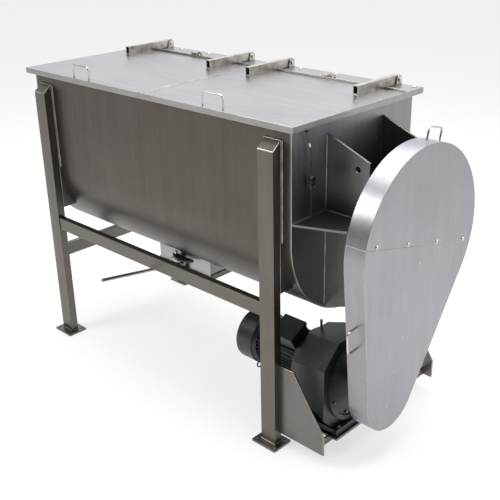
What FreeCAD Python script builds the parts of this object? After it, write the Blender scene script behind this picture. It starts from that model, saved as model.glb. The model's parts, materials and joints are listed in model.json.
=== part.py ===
"""Ribbon blender: a U trough on a tube frame, with a double ribbon agitator driven by a
gearmotor and a roller chain.  X runs along the trough towards the drive end, Y to the rear
(the hinge side), Z up.  Everything is in millimetres."""

import FreeCAD, Part
import math
import os
import Sketcher
from FreeCAD import Placement, Rotation, Vector

doc = FreeCAD.newDocument("ribbon_blender")
sheet = doc.addObject("Spreadsheet::Sheet", "Sizes")

# ---------------------------------------------------------------- driving dimensions
SIZES = {
    # trough
    "trough_length": 1590.0,
    "trough_radius": 370.0,
    "trough_wall": 5.0,
    "end_plate_thick": 8.0,
    "axis_height": 891.0,
    "rim_height": 1341.0,
    "flange_width": 24.0,
    "flange_thick": 5.0,
    "gasket_thick": 5.0,
    "gasket_width": 20.0,
    # covers
    "cover_overhang": 30.0,
    "cover_sheet": 3.0,
    "cover_lip": 24.0,
    "cover_rise": 8.0,
    "cover_gap": 2.0,
    "strip_depth": 126.0,
    "strip_upstand": 9.0,
    "hem_width": 12.0,
    "hem_height": 3.0,
    "strip_bolt_pitch": 199.5,
    "strip_bolt_radius": 9.0,
    "strip_bolt_height": 6.0,
    "strip_bolt_inset": 25.0,
    # cover hinges
    "hinge_end_inset": 121.0,
    "hinge_split_inset": 124.0,
    "arm_width": 25.0,
    "arm_height": 36.0,
    "arm_wall": 3.0,
    "arm_chamfer": 8.0,
    "arm_reach": 166.0,
    "pin_radius": 6.0,
    "pin_head_radius": 10.0,
    "pin_head_height": 6.0,
    "pin_inset": 20.0,
    "pin_clearance": 0.05,
    "arm_lift": 3.0,
    "ear_thick": 6.0,
    "ear_gap": 0.6,
    "ear_length": 44.0,
    # wire handles
    "wire_radius": 4.0,
    "wire_bend": 14.0,
    "cover_handle_span": 110.0,
    "cover_handle_height": 54.0,
    "cover_handle_inset": 21.0,
    "guard_handle_span": 90.0,
    "guard_handle_height": 48.0,
    # frame
    "leg_width": 76.0,
    "leg_depth": 38.0,
    "leg_wall": 3.0,
    "leg_spacing": 1419.0,
    "leg_top": 1283.0,
    "leg_cap_fall": 32.0,
    "leg_cap_thick": 4.0,
    "pad_thick": 8.0,
    "pad_margin": 4.0,
    "pad_top": 1286.0,
    "saddle_thick": 8.0,
    "saddle_foot": 685.0,
    "foot_length": 125.0,
    "foot_width": 100.0,
    "foot_thick": 10.0,
    "foot_hole_radius": 7.0,
    "foot_hole_spacing_x": 97.0,
    "foot_hole_spacing_y": 69.0,
    "rail_height": 60.0,
    "rail_depth": 30.0,
    "side_rail_top": 638.0,
    "cross_rail_top": 480.0,
    # drive end bracket
    "gusset_offset": 170.0,
    "gusset_thick": 8.0,
    "gusset_reach": 194.0,
    "gusset_root_top": 1277.0,
    "gusset_nose_top": 1200.0,
    "gusset_root_foot": 568.0,
    "gusset_nose_foot": 634.0,
    "lifting_hole_radius": 12.0,
    "lifting_hole_reach": 142.0,
    "lifting_hole_height": 1166.0,
    "shelf_height": 970.0,
    "shelf_thick": 8.0,
    "shelf_nose": 295.0,
    "bearing_plate_thick": 12.0,
    "bearing_plate_half": 190.0,
    "bearing_plate_hole": 60.0,
    # idle end bracket
    "idle_gusset_offset": 120.0,
    "idle_gusset_reach": 108.0,
    "idle_gusset_flare": 70.0,
    # agitator
    "shaft_radius": 50.0,
    "journal_radius": 37.5,
    "journal_clearance": 0.05,
    "shaft_body_gap": 17.0,
    "drive_journal_end": 1104.0,
    "idle_journal_end": 938.0,
    "ribbon_end_gap": 22.0,
    "ribbon_clearance": 6.0,
    "outer_ribbon_width": 50.0,
    "inner_ribbon_radius": 235.0,
    "inner_ribbon_width": 45.0,
    "ribbon_thick": 8.0,
    "ribbon_facets": 30.0,
    "spoke_radius": 16.0,
    "spoke_sink": 4.0,
    # shaft seals and bearings
    "gland_radius": 85.0,
    "seal_box_radius": 62.0,
    "seal_box_length": 48.0,
    "gland_gap": 9.0,
    "gland_thick": 10.0,
    "stud_radius": 5.0,
    "stud_circle": 74.0,
    "bearing_side": 190.0,
    "bearing_corner": 30.0,
    "bearing_flange": 18.0,
    "bearing_body_radius": 68.0,
    "bearing_body": 38.0,
    "bearing_bolt_spacing": 142.0,
    "bearing_bolt_radius": 12.0,
    # chain drive
    "chain_pitch": 31.75,
    "driven_teeth": 48.0,
    "drive_teeth": 16.0,
    "span_links": 19.0,
    "roller_radius": 9.5,
    "roller_width": 19.0,
    "link_plate": 4.0,
    "link_height": 28.0,
    "tooth_width": 17.0,
    "chain_line": 1075.0,
    "gap_floor": 8.4,
    "gap_mouth": 14.6,
    "window_circle": 150.0,
    "window_radius": 46.0,
    "driven_hub_radius": 62.0,
    "drive_hub_radius": 50.0,
    "drive_lean": 14.5,
    # chain guard
    "guard_back": 1031.0,
    "guard_depth": 88.0,
    "guard_sheet": 3.0,
    "guard_top_radius": 365.0,
    "guard_foot_radius": 155.0,
    "guard_gap": 1.0,
    "guard_seam_drop": 22.0,
    "guard_lap_sheet": 1.5,
    "guard_lap_lean": 17.0,
    "guard_lap_margin": 11.0,
    "lap_top_y": -22.0,
    "lap_top_z": 804.0,
    "guard_bolt_lift": 11.0,
    "guard_bolt_pitch": 202.0,
    "guard_bolt_radius": 7.0,
    "guard_bolt_height": 5.0,
    "guard_rivet_radius": 3.5,
    "guard_rivet_height": 2.0,
    "guard_rivet_pitch": 144.0,
    "guard_side_handle_z": 600.0,
    "spacer_radius": 12.0,
    "spacer_y": 140.0,
    "spacer_z": 160.0,
    # gearmotor
    "output_radius": 30.0,
    "gearbox_foot_half": 146.0,
    "gearbox_foot_front": 970.0,
    "gearbox_foot_back": 775.0,
    "gearbox_foot_thick": 28.0,
    "drum_back_half": 154.0,
    "drum_back_flat": 62.0,
    "drum_front_half": 199.0,
    "drum_front_flat": 112.0,
    "gearbox_drum_back": 752.0,
    "gearbox_drum_front": 945.0,
    "gearbox_rim_radius": 178.0,
    "gearbox_front": 957.0,
    "gearbox_neck_radius": 140.0,
    "gearbox_back": 742.0,
    "breather_x": 767.0,
    "breather_top": 492.0,
    "motor_flange_back": 722.0,
    "motor_frame_radius": 92.0,
    "motor_frame_back": 475.0,
    "motor_fin_height": 11.0,
    "motor_fin_thick": 5.0,
    "motor_fins": 20.0,
    "motor_shaft_radius": 14.0,
    "eye_x": 491.0,
    "eye_radius": 14.0,
    "eye_hole": 8.0,
    "eye_reach": 121.0,
    "eye_lean": -40.0,
    "terminal_x": 660.0,
    "terminal_lean": 28.0,
    "terminal_length": 106.0,
    "terminal_width": 100.0,
    "terminal_depth": 70.0,
    "fan_cover_radius": 115.0,
    "fan_cover_back": 380.0,
    "fan_cover_sheet": 2.0,
    # motor base
    "base_gusset_thick": 8.0,
    "base_gusset_top": 373.0,
    "base_gusset_ledge": 73.0,
    "base_gusset_reach": 228.0,
    "base_gusset_nose": 140.0,
    "base_gusset_foot": 56.0,
    "base_plate_top": 97.0,
    "base_plate_thick": 10.0,
    "base_plate_front": 310.0,
    "base_plate_rear": 20.0,
    "cross_plate_thick": 10.0,
    # discharge
    "outlet_length": 280.0,
    "outlet_width": 240.0,
    "spout_length": 340.0,
    "spout_width": 404.0,
    "spout_wall": 5.0,
    "spout_foot": 505.0,
    "gate_thick": 6.0,
    "gate_gap": 1.0,
    "guide_wall": 5.0,
    "guide_clearance": 0.1,
    "gate_lug": 30.0,
    "gate_lug_height": 40.0,
    "rod_radius": 7.5,
    "rod_length": 450.0,
    "rod_rise": 9.2,
    "lever_clearance": 17.0,
    "lever_thick": 10.0,
    "lever_span": 132.0,
    "lever_middle": 16.0,
    "lever_back": 12.0,
    "lever_width": 18.0,
    "lever_bow": 28.0,
    "spindle_radius": 8.0,
    "spindle_offset": 29.0,
    "spindle_stub": 16.0,
    # cover lock lugs
    "lock_lug_x": 412.0,
    "lock_lug_set": 7.0,
    # interlock cord
    "gland_side": 305.0,
    "cord_radius": 2.5,
}

for row, (alias, amount) in enumerate(SIZES.items(), start=1):
    sheet.set("A%d" % row, alias)
    sheet.set("B%d" % row, str(amount))
    sheet.setAlias("B%d" % row, alias)
origin_row = len(SIZES) + 1
for row, alias in enumerate(("origin_x", "origin_y"), start=origin_row):
    sheet.set("A%d" % row, alias)
    sheet.set("B%d" % row, "0.0")
    sheet.setAlias("B%d" % row, alias)
doc.recompute()


# ---------------------------------------------------------------- sizes that carry a formula
class Size:
    """A number together with the spreadsheet formula that gives it."""

    def __init__(self, value, formula):
        self.value = float(value)
        self.formula = formula

    def __add__(self, other):
        other = as_size(other)
        return Size(self.value + other.value, "(%s + %s)" % (self.formula, other.formula))

    def __sub__(self, other):
        other = as_size(other)
        return Size(self.value - other.value, "(%s - %s)" % (self.formula, other.formula))

    def __mul__(self, other):
        other = as_size(other)
        return Size(self.value * other.value, "(%s * %s)" % (self.formula, other.formula))

    def __truediv__(self, other):
        other = as_size(other)
        return Size(self.value / other.value, "(%s / %s)" % (self.formula, other.formula))

    def __neg__(self):
        return Size(-self.value, "(0 - %s)" % self.formula)

    def __radd__(self, other):
        return as_size(other) + self

    def __rsub__(self, other):
        return as_size(other) - self

    def __rmul__(self, other):
        return as_size(other) * self

    def __rtruediv__(self, other):
        return as_size(other) / self


def as_size(number):
    if isinstance(number, Size):
        return number
    if number < 0:
        return Size(number, "(0 - %r)" % float(-number))
    return Size(number, "%r" % float(number))


def root(number):
    return Size(math.sqrt(number.value), "sqrt(%s)" % number.formula)


def sine(degrees):
    degrees = as_size(degrees)
    return Size(math.sin(math.radians(degrees.value)), "sin(%s)" % degrees.formula)


def cosine(degrees):
    degrees = as_size(degrees)
    return Size(math.cos(math.radians(degrees.value)), "cos(%s)" % degrees.formula)


def tangent(degrees):
    return sine(degrees) / cosine(degrees)


class Sheet:
    """The spreadsheet's cells by name, as sizes."""

    def __getattr__(self, alias):
        return Size(SIZES[alias], "Sizes.%s" % alias)


d = Sheet()
ZERO = as_size(0)


# ---------------------------------------------------------------- building helpers
nodes = {}
counter = {}


def new(kind, name):
    counter[name] = counter.get(name, 0) + 1
    return doc.addObject(kind, "%s_%d" % (name, counter[name]))


def bind(thing, **amounts):
    for name, amount in amounts.items():
        amount = as_size(amount)
        setattr(thing, name, amount.value)
        thing.setExpression(name, amount.formula)


def put(thing, x=ZERO, y=ZERO, z=ZERO, turn=None):
    """Places a thing; turn is a Rotation."""
    x, y, z = as_size(x), as_size(y), as_size(z)
    thing.Placement = Placement(Vector(x.value, y.value, z.value), turn or thing.Placement.Rotation)
    for axis, amount in zip("xyz", (x, y, z)):
        thing.setExpression("Placement.Base.%s" % axis, amount.formula)
    return thing


def box(name, x, y, z):
    """A block between the pairs (low, high) of each axis."""
    x, y, z = [(as_size(low), as_size(high)) for low, high in (x, y, z)]
    piece = new("Part::Box", name)
    bind(piece, Length=x[1] - x[0], Width=y[1] - y[0], Height=z[1] - z[0])
    return put(piece, x[0], y[0], z[0])


TURN_TO = {
    "x": Rotation(Vector(0, 1, 0), 90),
    "y": Rotation(Vector(1, 0, 0), -90),
    "z": Rotation(),
}


def rod(name, axis, low, high, radius, a, b):
    """A cylinder along an axis; a and b are its centre on the other two, in X, Y, Z order."""
    piece = new("Part::Cylinder", name)
    bind(piece, Radius=radius, Height=as_size(high) - low)
    where = {"x": (low, a, b), "y": (a, low, b), "z": (a, b, low)}[axis]
    return put(piece, *where, turn=TURN_TO[axis])


def head(name, turn, radius, height, x, y, z, sides=8):
    """A bolt head or another small round boss, as a prism of few sides that stands on a face."""
    piece = new("Part::Prism", name)
    piece.Polygon = sides
    bind(piece, Circumradius=radius, Height=height)
    return put(piece, x, y, z, turn=turn)


TO_X = Rotation(Vector(0, 1, 0), 90)
TO_MINUS_X = Rotation(Vector(0, 1, 0), -90)


def plane_of(body, plane):
    return [one for one in body.Origin.OriginFeatures if one.Role == plane][0]


def sketch_on(body, plane, offset=ZERO):
    sketch = body.newObject("Sketcher::SketchObject", body.Name + "_sketch")
    sketch.AttachmentSupport = [(plane_of(body, plane), "")]
    sketch.MapMode = "FlatFace"
    offset = as_size(offset)
    sketch.AttachmentOffset = Placement(Vector(0, 0, offset.value), Rotation())
    sketch.setExpression("AttachmentOffset.Base.z", offset.formula)
    return sketch


def fix_point(sketch, geometry, end, x, y):
    """Ties one point of a sketch to the origin by two dimensions."""
    for kind, amount in (("DistanceX", x), ("DistanceY", y)):
        index = sketch.addConstraint(Sketcher.Constraint(kind, -1, 1, geometry, end, amount.value))
        sketch.setExpression("Constraints[%d]" % index, amount.formula)


def fix_centre(sketch, geometry, before, corner):
    """Ties an arc whose ends are fixed: by the centre's height if its chord lies flat, else by
    the centre's other coordinate."""
    flat = abs(corner[0].value - before[0].value) > abs(corner[1].value - before[1].value)
    kind, amount = ("DistanceY", corner[4]) if flat else ("DistanceX", corner[3])
    index = sketch.addConstraint(Sketcher.Constraint(kind, -1, 1, geometry, 3, amount.value))
    sketch.setExpression("Constraints[%d]" % index, amount.formula)


def set_radius(sketch, geometry, radius):
    index = sketch.addConstraint(Sketcher.Constraint("Radius", geometry, radius.value))
    sketch.setExpression("Constraints[%d]" % index, radius.formula)


def draw(sketch, outline):
    """Draws a closed outline.  Each entry is a corner (x, y), reached from the one before by a
    line, or (x, y, radius, centre_x, centre_y, turn), reached by an arc that runs
    anticlockwise (turn 1) or clockwise (turn -1)."""
    corners = [tuple(as_size(number) for number in entry) for entry in outline]
    ends = []
    for index, corner in enumerate(corners):
        before = corners[index - 1]
        start = Vector(before[0].value, before[1].value, 0)
        stop = Vector(corner[0].value, corner[1].value, 0)
        if len(corner) == 2:
            geometry = sketch.addGeometry(Part.LineSegment(start, stop))
            ends.append((geometry, 1, 2))
            continue
        radius, centre_x, centre_y, turn = corner[2:]
        centre = Vector(centre_x.value, centre_y.value, 0)
        angles = [math.atan2(p.y - centre.y, p.x - centre.x) for p in (start, stop)]
        if turn.value < 0:
            angles.reverse()
        if angles[1] <= angles[0]:
            angles[1] += 2 * math.pi
        circle = Part.Circle(centre, Vector(0, 0, 1), radius.value)
        geometry = sketch.addGeometry(Part.ArcOfCircle(circle, angles[0], angles[1]))
        ends.append((geometry, 1, 2) if turn.value > 0 else (geometry, 2, 1))
    for index, (geometry, start, stop) in enumerate(ends):
        after = ends[(index + 1) % len(ends)]
        sketch.addConstraint(Sketcher.Constraint("Coincident", geometry, stop, after[0], after[1]))
    for index, ((geometry, start, stop), corner) in enumerate(zip(ends, corners)):
        fix_point(sketch, geometry, stop, corner[0], corner[1])
        if len(corner) > 2:
            fix_centre(sketch, geometry, corners[index - 1], corner)


def circle(sketch, x, y, radius):
    x, y, radius = as_size(x), as_size(y), as_size(radius)
    geometry = sketch.addGeometry(Part.Circle(Vector(x.value, y.value, 0), Vector(0, 0, 1), radius.value))
    fix_point(sketch, geometry, 3, x, y)
    set_radius(sketch, geometry, radius)


def prism(name, plane, outline, low, high, holes=()):
    """A plate: an outline in the plane's own coordinates, from low to high along its normal."""
    low, high = as_size(low), as_size(high)
    body = new("PartDesign::Body", name)
    sketch = sketch_on(body, plane, -high if plane == "XZ_Plane" else low)
    draw(sketch, outline)
    for hole in holes:
        circle(sketch, *hole)
    pad = body.newObject("PartDesign::Pad", body.Name + "_pad")
    pad.Profile = sketch
    bind(pad, Length=high - low)
    body.Tip = pad
    return put(body)


def rectangle(x, y):
    return [(x[0], y[0]), (x[1], y[0]), (x[1], y[1]), (x[0], y[1])]


def turned(name, outline, y, z, x=ZERO):
    """A turned piece: an outline of (x, radius) corners spun about a line along X at (y, z)."""
    body = new("PartDesign::Body", name)
    sketch = sketch_on(body, "XZ_Plane")
    draw(sketch, outline)
    spin = body.newObject("PartDesign::Revolution", body.Name + "_spin")
    spin.Profile = sketch
    spin.ReferenceAxis = (sketch, ["H_Axis"])
    spin.Angle = 360.0
    body.Tip = spin
    return put(body, x, y, z)


def cut(name, base, *tools):
    for tool in tools:
        result = new("Part::Cut", name)
        result.Base = base
        result.Tool = tool
        base = put(result)
    return base


def fuse(name, *pieces):
    result = new("Part::MultiFuse", name)
    result.Shapes = list(pieces)
    result.Refine = True
    return put(result)


def common(name, *pieces):
    result = new("Part::MultiCommon", name)
    result.Shapes = list(pieces)
    return put(result)


def group(name, *pieces):
    result = new("Part::Compound", name)
    result.Links = list(pieces)
    return put(result)


def mirrored(name, piece, normal):
    result = new("Part::Mirroring", name)
    result.Source = piece
    result.Normal = Vector(*normal)
    return put(result)


def both_sides(name, piece, normal):
    """A piece and its mirror image, as two solids."""
    return group(name, piece, mirrored(name, piece, normal))


def four_corners(name, piece):
    pair = both_sides(name, piece, (1, 0, 0))
    return group(name, pair, mirrored(name, pair, (0, 1, 0)))


def node(name, thing):
    """Names a finished sub-part and moves it to the part's own origin."""
    result = group(name, thing)
    put(result, Size(0, "Sizes.origin_x"), Size(0, "Sizes.origin_y"), ZERO)
    result.Label = name
    nodes[name] = result


def tube(name, x, y, z, wall, along):
    """A rectangular tube, open at both ends along one axis."""
    spans = {"x": x, "y": y, "z": z}
    inside = []
    for axis in "xyz":
        low, high = spans[axis]
        step = -1 if axis == along else wall
        inside.append((as_size(low) + step, as_size(high) - step))
    return cut(name, box(name, x, y, z), box(name, *inside))


def polygon(sides, radius):
    """The corners of a regular outline about the origin, with a flat side down."""
    corners = []
    for index in range(sides):
        angle = 360.0 / sides * (index + 0.5) - 90
        corners.append((radius * cosine(angle), radius * sine(angle)))
    return corners


def wire_handle(name, span, height, turn, x, y, z):
    """A bent wire handle: its feet lie on local Z = 0, span apart along local X."""
    wire, bend = d.wire_radius, d.wire_bend
    half = span / 2
    body = new("PartDesign::Body", name)
    path = sketch_on(body, "XZ_Plane")
    corners = [(-half, ZERO), (-half, height - bend), (-half + bend, height), (half - bend, height),
               (half, height - bend), (half, ZERO)]
    points = [Vector(a.value, b.value, 0) for a, b in corners]
    lines = [path.addGeometry(Part.LineSegment(points[i], points[i + 1])) for i in (0, 2, 4)]
    arcs = []
    for centre_x, low, high in ((-half + bend, 90, 180), (half - bend, 0, 90)):
        centre = Vector(centre_x.value, (height - bend).value, 0)
        round_ = Part.Circle(centre, Vector(0, 0, 1), bend.value)
        arcs.append(path.addGeometry(Part.ArcOfCircle(round_, math.radians(low), math.radians(high))))
    joins = ((lines[0], 2, arcs[0], 2), (arcs[0], 1, lines[1], 1), (lines[1], 2, arcs[1], 2),
             (arcs[1], 1, lines[2], 1))
    for join in joins:
        path.addConstraint(Sketcher.Constraint("Coincident", *join))
    for geometry, end, (a, b) in ((lines[0], 1, corners[0]), (lines[0], 2, corners[1]),
                                  (lines[1], 1, corners[2]), (lines[1], 2, corners[3]),
                                  (lines[2], 1, corners[4]), (lines[2], 2, corners[5])):
        fix_point(path, geometry, end, as_size(a), as_size(b))
    for arc in arcs:
        set_radius(path, arc, bend)
    section = sketch_on(body, "XY_Plane")
    draw(section, [(-half + a, b) for a, b in polygon(8, wire)])
    pipe = body.newObject("PartDesign::AdditivePipe", body.Name + "_pipe")
    pipe.Profile = section
    pipe.Spine = (path, ["Edge%d" % (index + 1) for index in range(5)])
    body.Tip = pipe
    return put(body, x, y, z, turn=turn)


# ---------------------------------------------------------------- derived places
half_length = d.trough_length / 2
inner_end = half_length - d.end_plate_thick
inner_radius = d.trough_radius - d.trough_wall
axis_z = d.axis_height
rim = d.rim_height
cover_half_length = half_length + d.cover_overhang
cover_half_width = d.trough_radius + d.cover_overhang
cover_underside = rim + d.gasket_thick
cover_top = cover_underside + d.cover_sheet
lip_foot = cover_top - d.cover_lip
seam = cover_half_width - d.strip_depth
flange_half_width = d.trough_radius + d.flange_width
flange_half_length = half_length + d.flange_width

# ---------------------------------------------------------------- trough
r_out, r_in = d.trough_radius, inner_radius
u_section = [
    (-flange_half_width, rim),
    (-flange_half_width, rim - d.flange_thick),
    (-r_out, rim - d.flange_thick),
    (-r_out, axis_z),
    (r_out, axis_z, r_out, ZERO, axis_z, 1),
    (r_out, rim - d.flange_thick),
    (flange_half_width, rim - d.flange_thick),
    (flange_half_width, rim),
    (r_in, rim),
    (r_in, axis_z),
    (-r_in, axis_z, r_in, ZERO, axis_z, -1),
    (-r_in, rim),
]
trough = prism("trough", "YZ_Plane", u_section, -inner_end, inner_end)
outlet = box("outlet", (-d.outlet_length / 2, d.outlet_length / 2),
             (-d.outlet_width / 2, d.outlet_width / 2), (axis_z - r_out - 10, axis_z))
node("trough_shell", cut("trough_with_outlet", trough, outlet))

plate_outline = [
    (-flange_half_width, rim),
    (-flange_half_width, rim - d.flange_thick),
    (-r_out, rim - d.flange_thick),
    (-r_out, axis_z),
    (r_out, axis_z, r_out, ZERO, axis_z, 1),
    (r_out, rim - d.flange_thick),
    (flange_half_width, rim - d.flange_thick),
    (flange_half_width, rim),
]
shaft_hole = [(ZERO, axis_z, d.journal_radius + 2)]


def end_plate(name, low, high, flange):
    plate = prism(name, "YZ_Plane", plate_outline, low, high, shaft_hole)
    ledge = box(name, flange, (-flange_half_width, flange_half_width), (rim - d.flange_thick, rim))
    return fuse(name, plate, ledge)


node("drive_end_plate", end_plate("drive_plate", inner_end, half_length,
                                  (half_length, flange_half_length)))
node("idle_end_plate", end_plate("idle_plate", -half_length, -inner_end,
                                 (-flange_half_length, -half_length)))

gasket_outer = box("gasket", (-flange_half_length, flange_half_length),
                   (-flange_half_width, flange_half_width), (rim, cover_underside))
gasket_hole = box("gasket", (-flange_half_length + d.gasket_width, flange_half_length - d.gasket_width),
                  (-flange_half_width + d.gasket_width, flange_half_width - d.gasket_width),
                  (rim - 1, cover_underside + 1))
node("rim_gasket", cut("gasket_ring", gasket_outer, gasket_hole))

# ---------------------------------------------------------------- covers
hinge_places = {
    "left": (-cover_half_length + d.hinge_end_inset, -d.hinge_split_inset),
    "right": (d.hinge_split_inset, cover_half_length - d.hinge_end_inset),
}
all_hinges = hinge_places["left"] + hinge_places["right"]
pin_y = cover_half_width - d.pin_inset
arm_foot = cover_top + d.arm_lift
pin_z = arm_foot + d.arm_height / 2


def pyramid(name, x, y, z, rise):
    """The shallow cross-broken top: a pyramid on the rectangle x by y."""
    piece = new("Part::Wedge", name)
    length = as_size(x[1]) - x[0]
    depth = as_size(y[1]) - y[0]
    bind(piece, Xmin=ZERO, Ymin=ZERO, Zmin=ZERO, Xmax=length, Zmax=depth, Ymax=rise,
         X2min=length / 2 - 1, X2max=length / 2 + 1, Z2min=depth / 2 - 1, Z2max=depth / 2 + 1)
    return put(piece, x[0], y[1], z, turn=Rotation(Vector(1, 0, 0), 90))


def cover_top_solid(name, x, y):
    top = box(name, x, y, (lip_foot, cover_top))
    return fuse(name, top, pyramid(name, x, y, cover_top, d.cover_rise))


def cover(name, x, inside_x, hem=None):
    """A cover sheet with lips turned down at its front and outer end."""
    y = (-cover_half_width, seam - d.cover_gap)
    inside_y = (-cover_half_width + d.cover_sheet, seam)
    hollow = box(name, inside_x, inside_y, (lip_foot - 1, cover_underside))
    rise_y = (inside_y[0], y[1])
    rise_x = (max(x[0], inside_x[0], key=lambda one: one.value),
              min(x[1], inside_x[1], key=lambda one: one.value))
    hollow_rise = pyramid(name, rise_x, rise_y, cover_underside, d.cover_rise)
    skin = cut(name, cover_top_solid(name, x, y), hollow, hollow_rise)
    if hem is None:
        return skin
    strip = box(name, hem, y, (cover_top - 1, cover_top + d.hem_height))
    return fuse(name, skin, strip)


split = d.cover_gap / 2
left_x = (-cover_half_length, -split)
right_x = (split, cover_half_length)
node("cover_left", cover("left_cover", left_x, (-cover_half_length + d.cover_sheet, ZERO)))
node("cover_right", cover("right_cover", right_x, (ZERO, cover_half_length - d.cover_sheet),
                          hem=(split, split + d.hem_width)))


def hinge_arm(name, x, cover_x):
    """A rectangular tube welded on the cover, which reaches back over the strip to the pin."""
    front = seam - d.arm_reach
    half = d.arm_height / 2
    arm_top = arm_foot + d.arm_height
    profile = [
        (front, cover_top - 2),
        (seam - d.cover_gap - 1, cover_top - 2),
        (seam - d.cover_gap - 1, arm_foot),
        (pin_y + half - d.arm_chamfer, arm_foot),
        (pin_y + half, arm_foot + d.arm_chamfer),
        (pin_y + half, arm_top - d.arm_chamfer),
        (pin_y + half - d.arm_chamfer, arm_top),
        (front, arm_top),
    ]
    bar = prism(name, "YZ_Plane", profile, x - d.arm_width / 2, x + d.arm_width / 2,
                [(pin_y, pin_z, d.pin_radius + d.pin_clearance)])
    bore = box(name, (x - d.arm_width / 2 + d.arm_wall, x + d.arm_width / 2 - d.arm_wall),
               (front - 1, seam), (arm_foot + d.arm_wall, arm_foot + d.arm_height - d.arm_wall))
    seat = cover_top_solid(name, cover_x, (-cover_half_width, seam - d.cover_gap))
    return cut(name, bar, bore, seat)


for side, cover_x in (("left", left_x), ("right", right_x)):
    arms = [hinge_arm("%s_arm" % side, x, cover_x) for x in hinge_places[side]]
    node("cover_%s_hinge_arms" % side, group("%s_arms" % side, *arms))
    middle = (cover_x[0] + cover_x[1]) / 2
    handle_y = -cover_half_width + d.cover_handle_inset
    handle_half = d.cover_handle_span / 2 + d.wire_radius
    handle = wire_handle("%s_handle" % side, d.cover_handle_span, d.cover_handle_height + 2,
                         Rotation(), middle, handle_y, cover_top - 2)
    seat = cover_top_solid("%s_handle_seat" % side, cover_x, (-cover_half_width, seam - d.cover_gap))
    node("cover_%s_handle" % side, cut("%s_handle_seated" % side, handle, seat))

# ---------------------------------------------------------------- fixed rear strip
strip_y = (seam, cover_half_width)
strip_outer = box("strip", (-cover_half_length, cover_half_length), strip_y, (lip_foot, cover_top))
strip_inner = box("strip", (-cover_half_length + d.cover_sheet, cover_half_length - d.cover_sheet),
                  (seam - 1, cover_half_width - d.cover_sheet), (lip_foot - 1, cover_underside))
upstand = box("upstand", (-cover_half_length, cover_half_length), (seam, seam + d.cover_sheet),
              (cover_top - 1, cover_top + d.strip_upstand))
notches = [box("notch", (x - d.arm_width / 2 - 3, x + d.arm_width / 2 + 3),
               (seam - 1, seam + d.cover_sheet + 1), (cover_top, cover_top + d.strip_upstand + 1))
           for x in all_hinges]
strip = fuse("strip_body", cut("strip", strip_outer, strip_inner), cut("upstand", upstand, *notches))
node("fixed_cover_strip", strip)

bolt_count = int((2 * cover_half_length.value - 40) // d.strip_bolt_pitch.value) + 1
heads = []
for index in range(bolt_count):
    x = d.strip_bolt_pitch * (index - (bolt_count - 1) / 2)
    heads.append(head("strip_bolt", Rotation(), d.strip_bolt_radius, d.strip_bolt_height,
                      x, cover_half_width - d.strip_bolt_inset, cover_top))
node("strip_bolts", group("strip_bolt_row", *heads))

ear_top = pin_z + 16
ear_outline = [
    (pin_y - d.ear_length / 2, cover_top),
    (pin_y + 16, cover_top),
    (pin_y + 16, ear_top - 9),
    (pin_y + 7, ear_top),
    (pin_y - 7, ear_top),
    (pin_y - 16, ear_top - 9),
]
ears = []
pins = []
for x in all_hinges:
    near = d.arm_width / 2 + d.ear_gap
    far = near + d.ear_thick
    ears.append(prism("ear", "YZ_Plane", ear_outline, x - far, x - near))
    ears.append(prism("ear", "YZ_Plane", ear_outline, x + near, x + far))
    pins.append(rod("hinge_pin", "x", x - near, x + near, d.pin_radius, pin_y, pin_z))
    pins.append(head("pin_head", TO_X, d.pin_head_radius, d.pin_head_height, x + far, pin_y, pin_z, 6))
    pins.append(head("pin_nut", TO_MINUS_X, d.pin_head_radius, d.pin_head_height, x - far, pin_y,
                     pin_z, 6))
node("hinge_brackets", group("ears", *ears))
node("hinge_pins", group("pins", *pins))

# ---------------------------------------------------------------- frame
leg_x = d.leg_spacing / 2
leg_in, leg_out = leg_x - d.leg_width / 2, leg_x + d.leg_width / 2
leg_rear = -(d.trough_radius + d.pad_thick)
leg_front = leg_rear - d.leg_depth
leg_y = (leg_front + leg_rear) / 2
tube_top = d.leg_top - d.leg_cap_thick
cap_front = tube_top - d.leg_cap_fall

leg_outline = [(leg_front, d.foot_thick), (leg_rear, d.foot_thick), (leg_rear, tube_top),
               (leg_front, cap_front)]
leg_bore = box("leg_bore", (leg_in + d.leg_wall, leg_out - d.leg_wall),
               (leg_front + d.leg_wall, leg_rear - d.leg_wall), (d.foot_thick - 1, d.leg_top))
leg = cut("leg", prism("leg", "YZ_Plane", leg_outline, leg_in, leg_out), leg_bore)
node("legs", four_corners("legs", leg))

cap_outline = [(leg_front, cap_front), (leg_rear, tube_top), (leg_rear, d.leg_top),
               (leg_front, cap_front + d.leg_cap_thick)]
node("leg_caps", four_corners("caps", prism("cap", "YZ_Plane", cap_outline, leg_in, leg_out)))

pad = box("pad", (leg_in - d.pad_margin, leg_out + d.pad_margin), (leg_rear, -d.trough_radius),
          (axis_z, d.pad_top))
saddle_y = -root(r_out * r_out - (axis_z - d.saddle_foot) * (axis_z - d.saddle_foot))
saddle_outline = [(leg_rear, d.saddle_foot), (saddle_y, d.saddle_foot),
                  (-r_out, axis_z, r_out, ZERO, axis_z, -1), (leg_rear, axis_z)]
saddles = group("saddles",
                prism("saddle", "YZ_Plane", saddle_outline, leg_in, leg_in + d.saddle_thick),
                prism("saddle", "YZ_Plane", saddle_outline, leg_out - d.saddle_thick, leg_out))
node("leg_brackets", four_corners("leg_brackets", group("bracket", pad, saddles)))

foot_x = (leg_x - d.foot_length / 2, leg_x + d.foot_length / 2)
foot_y = (leg_y - d.foot_width / 2, leg_y + d.foot_width / 2)
foot_holes = [(leg_x + i * d.foot_hole_spacing_x / 2, leg_y + j * d.foot_hole_spacing_y / 2,
               d.foot_hole_radius) for i in (-1, 1) for j in (-1, 1)]
foot = prism("foot", "XY_Plane", rectangle(foot_x, foot_y), ZERO, d.foot_thick, foot_holes)
node("foot_plates", four_corners("feet", foot))

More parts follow.
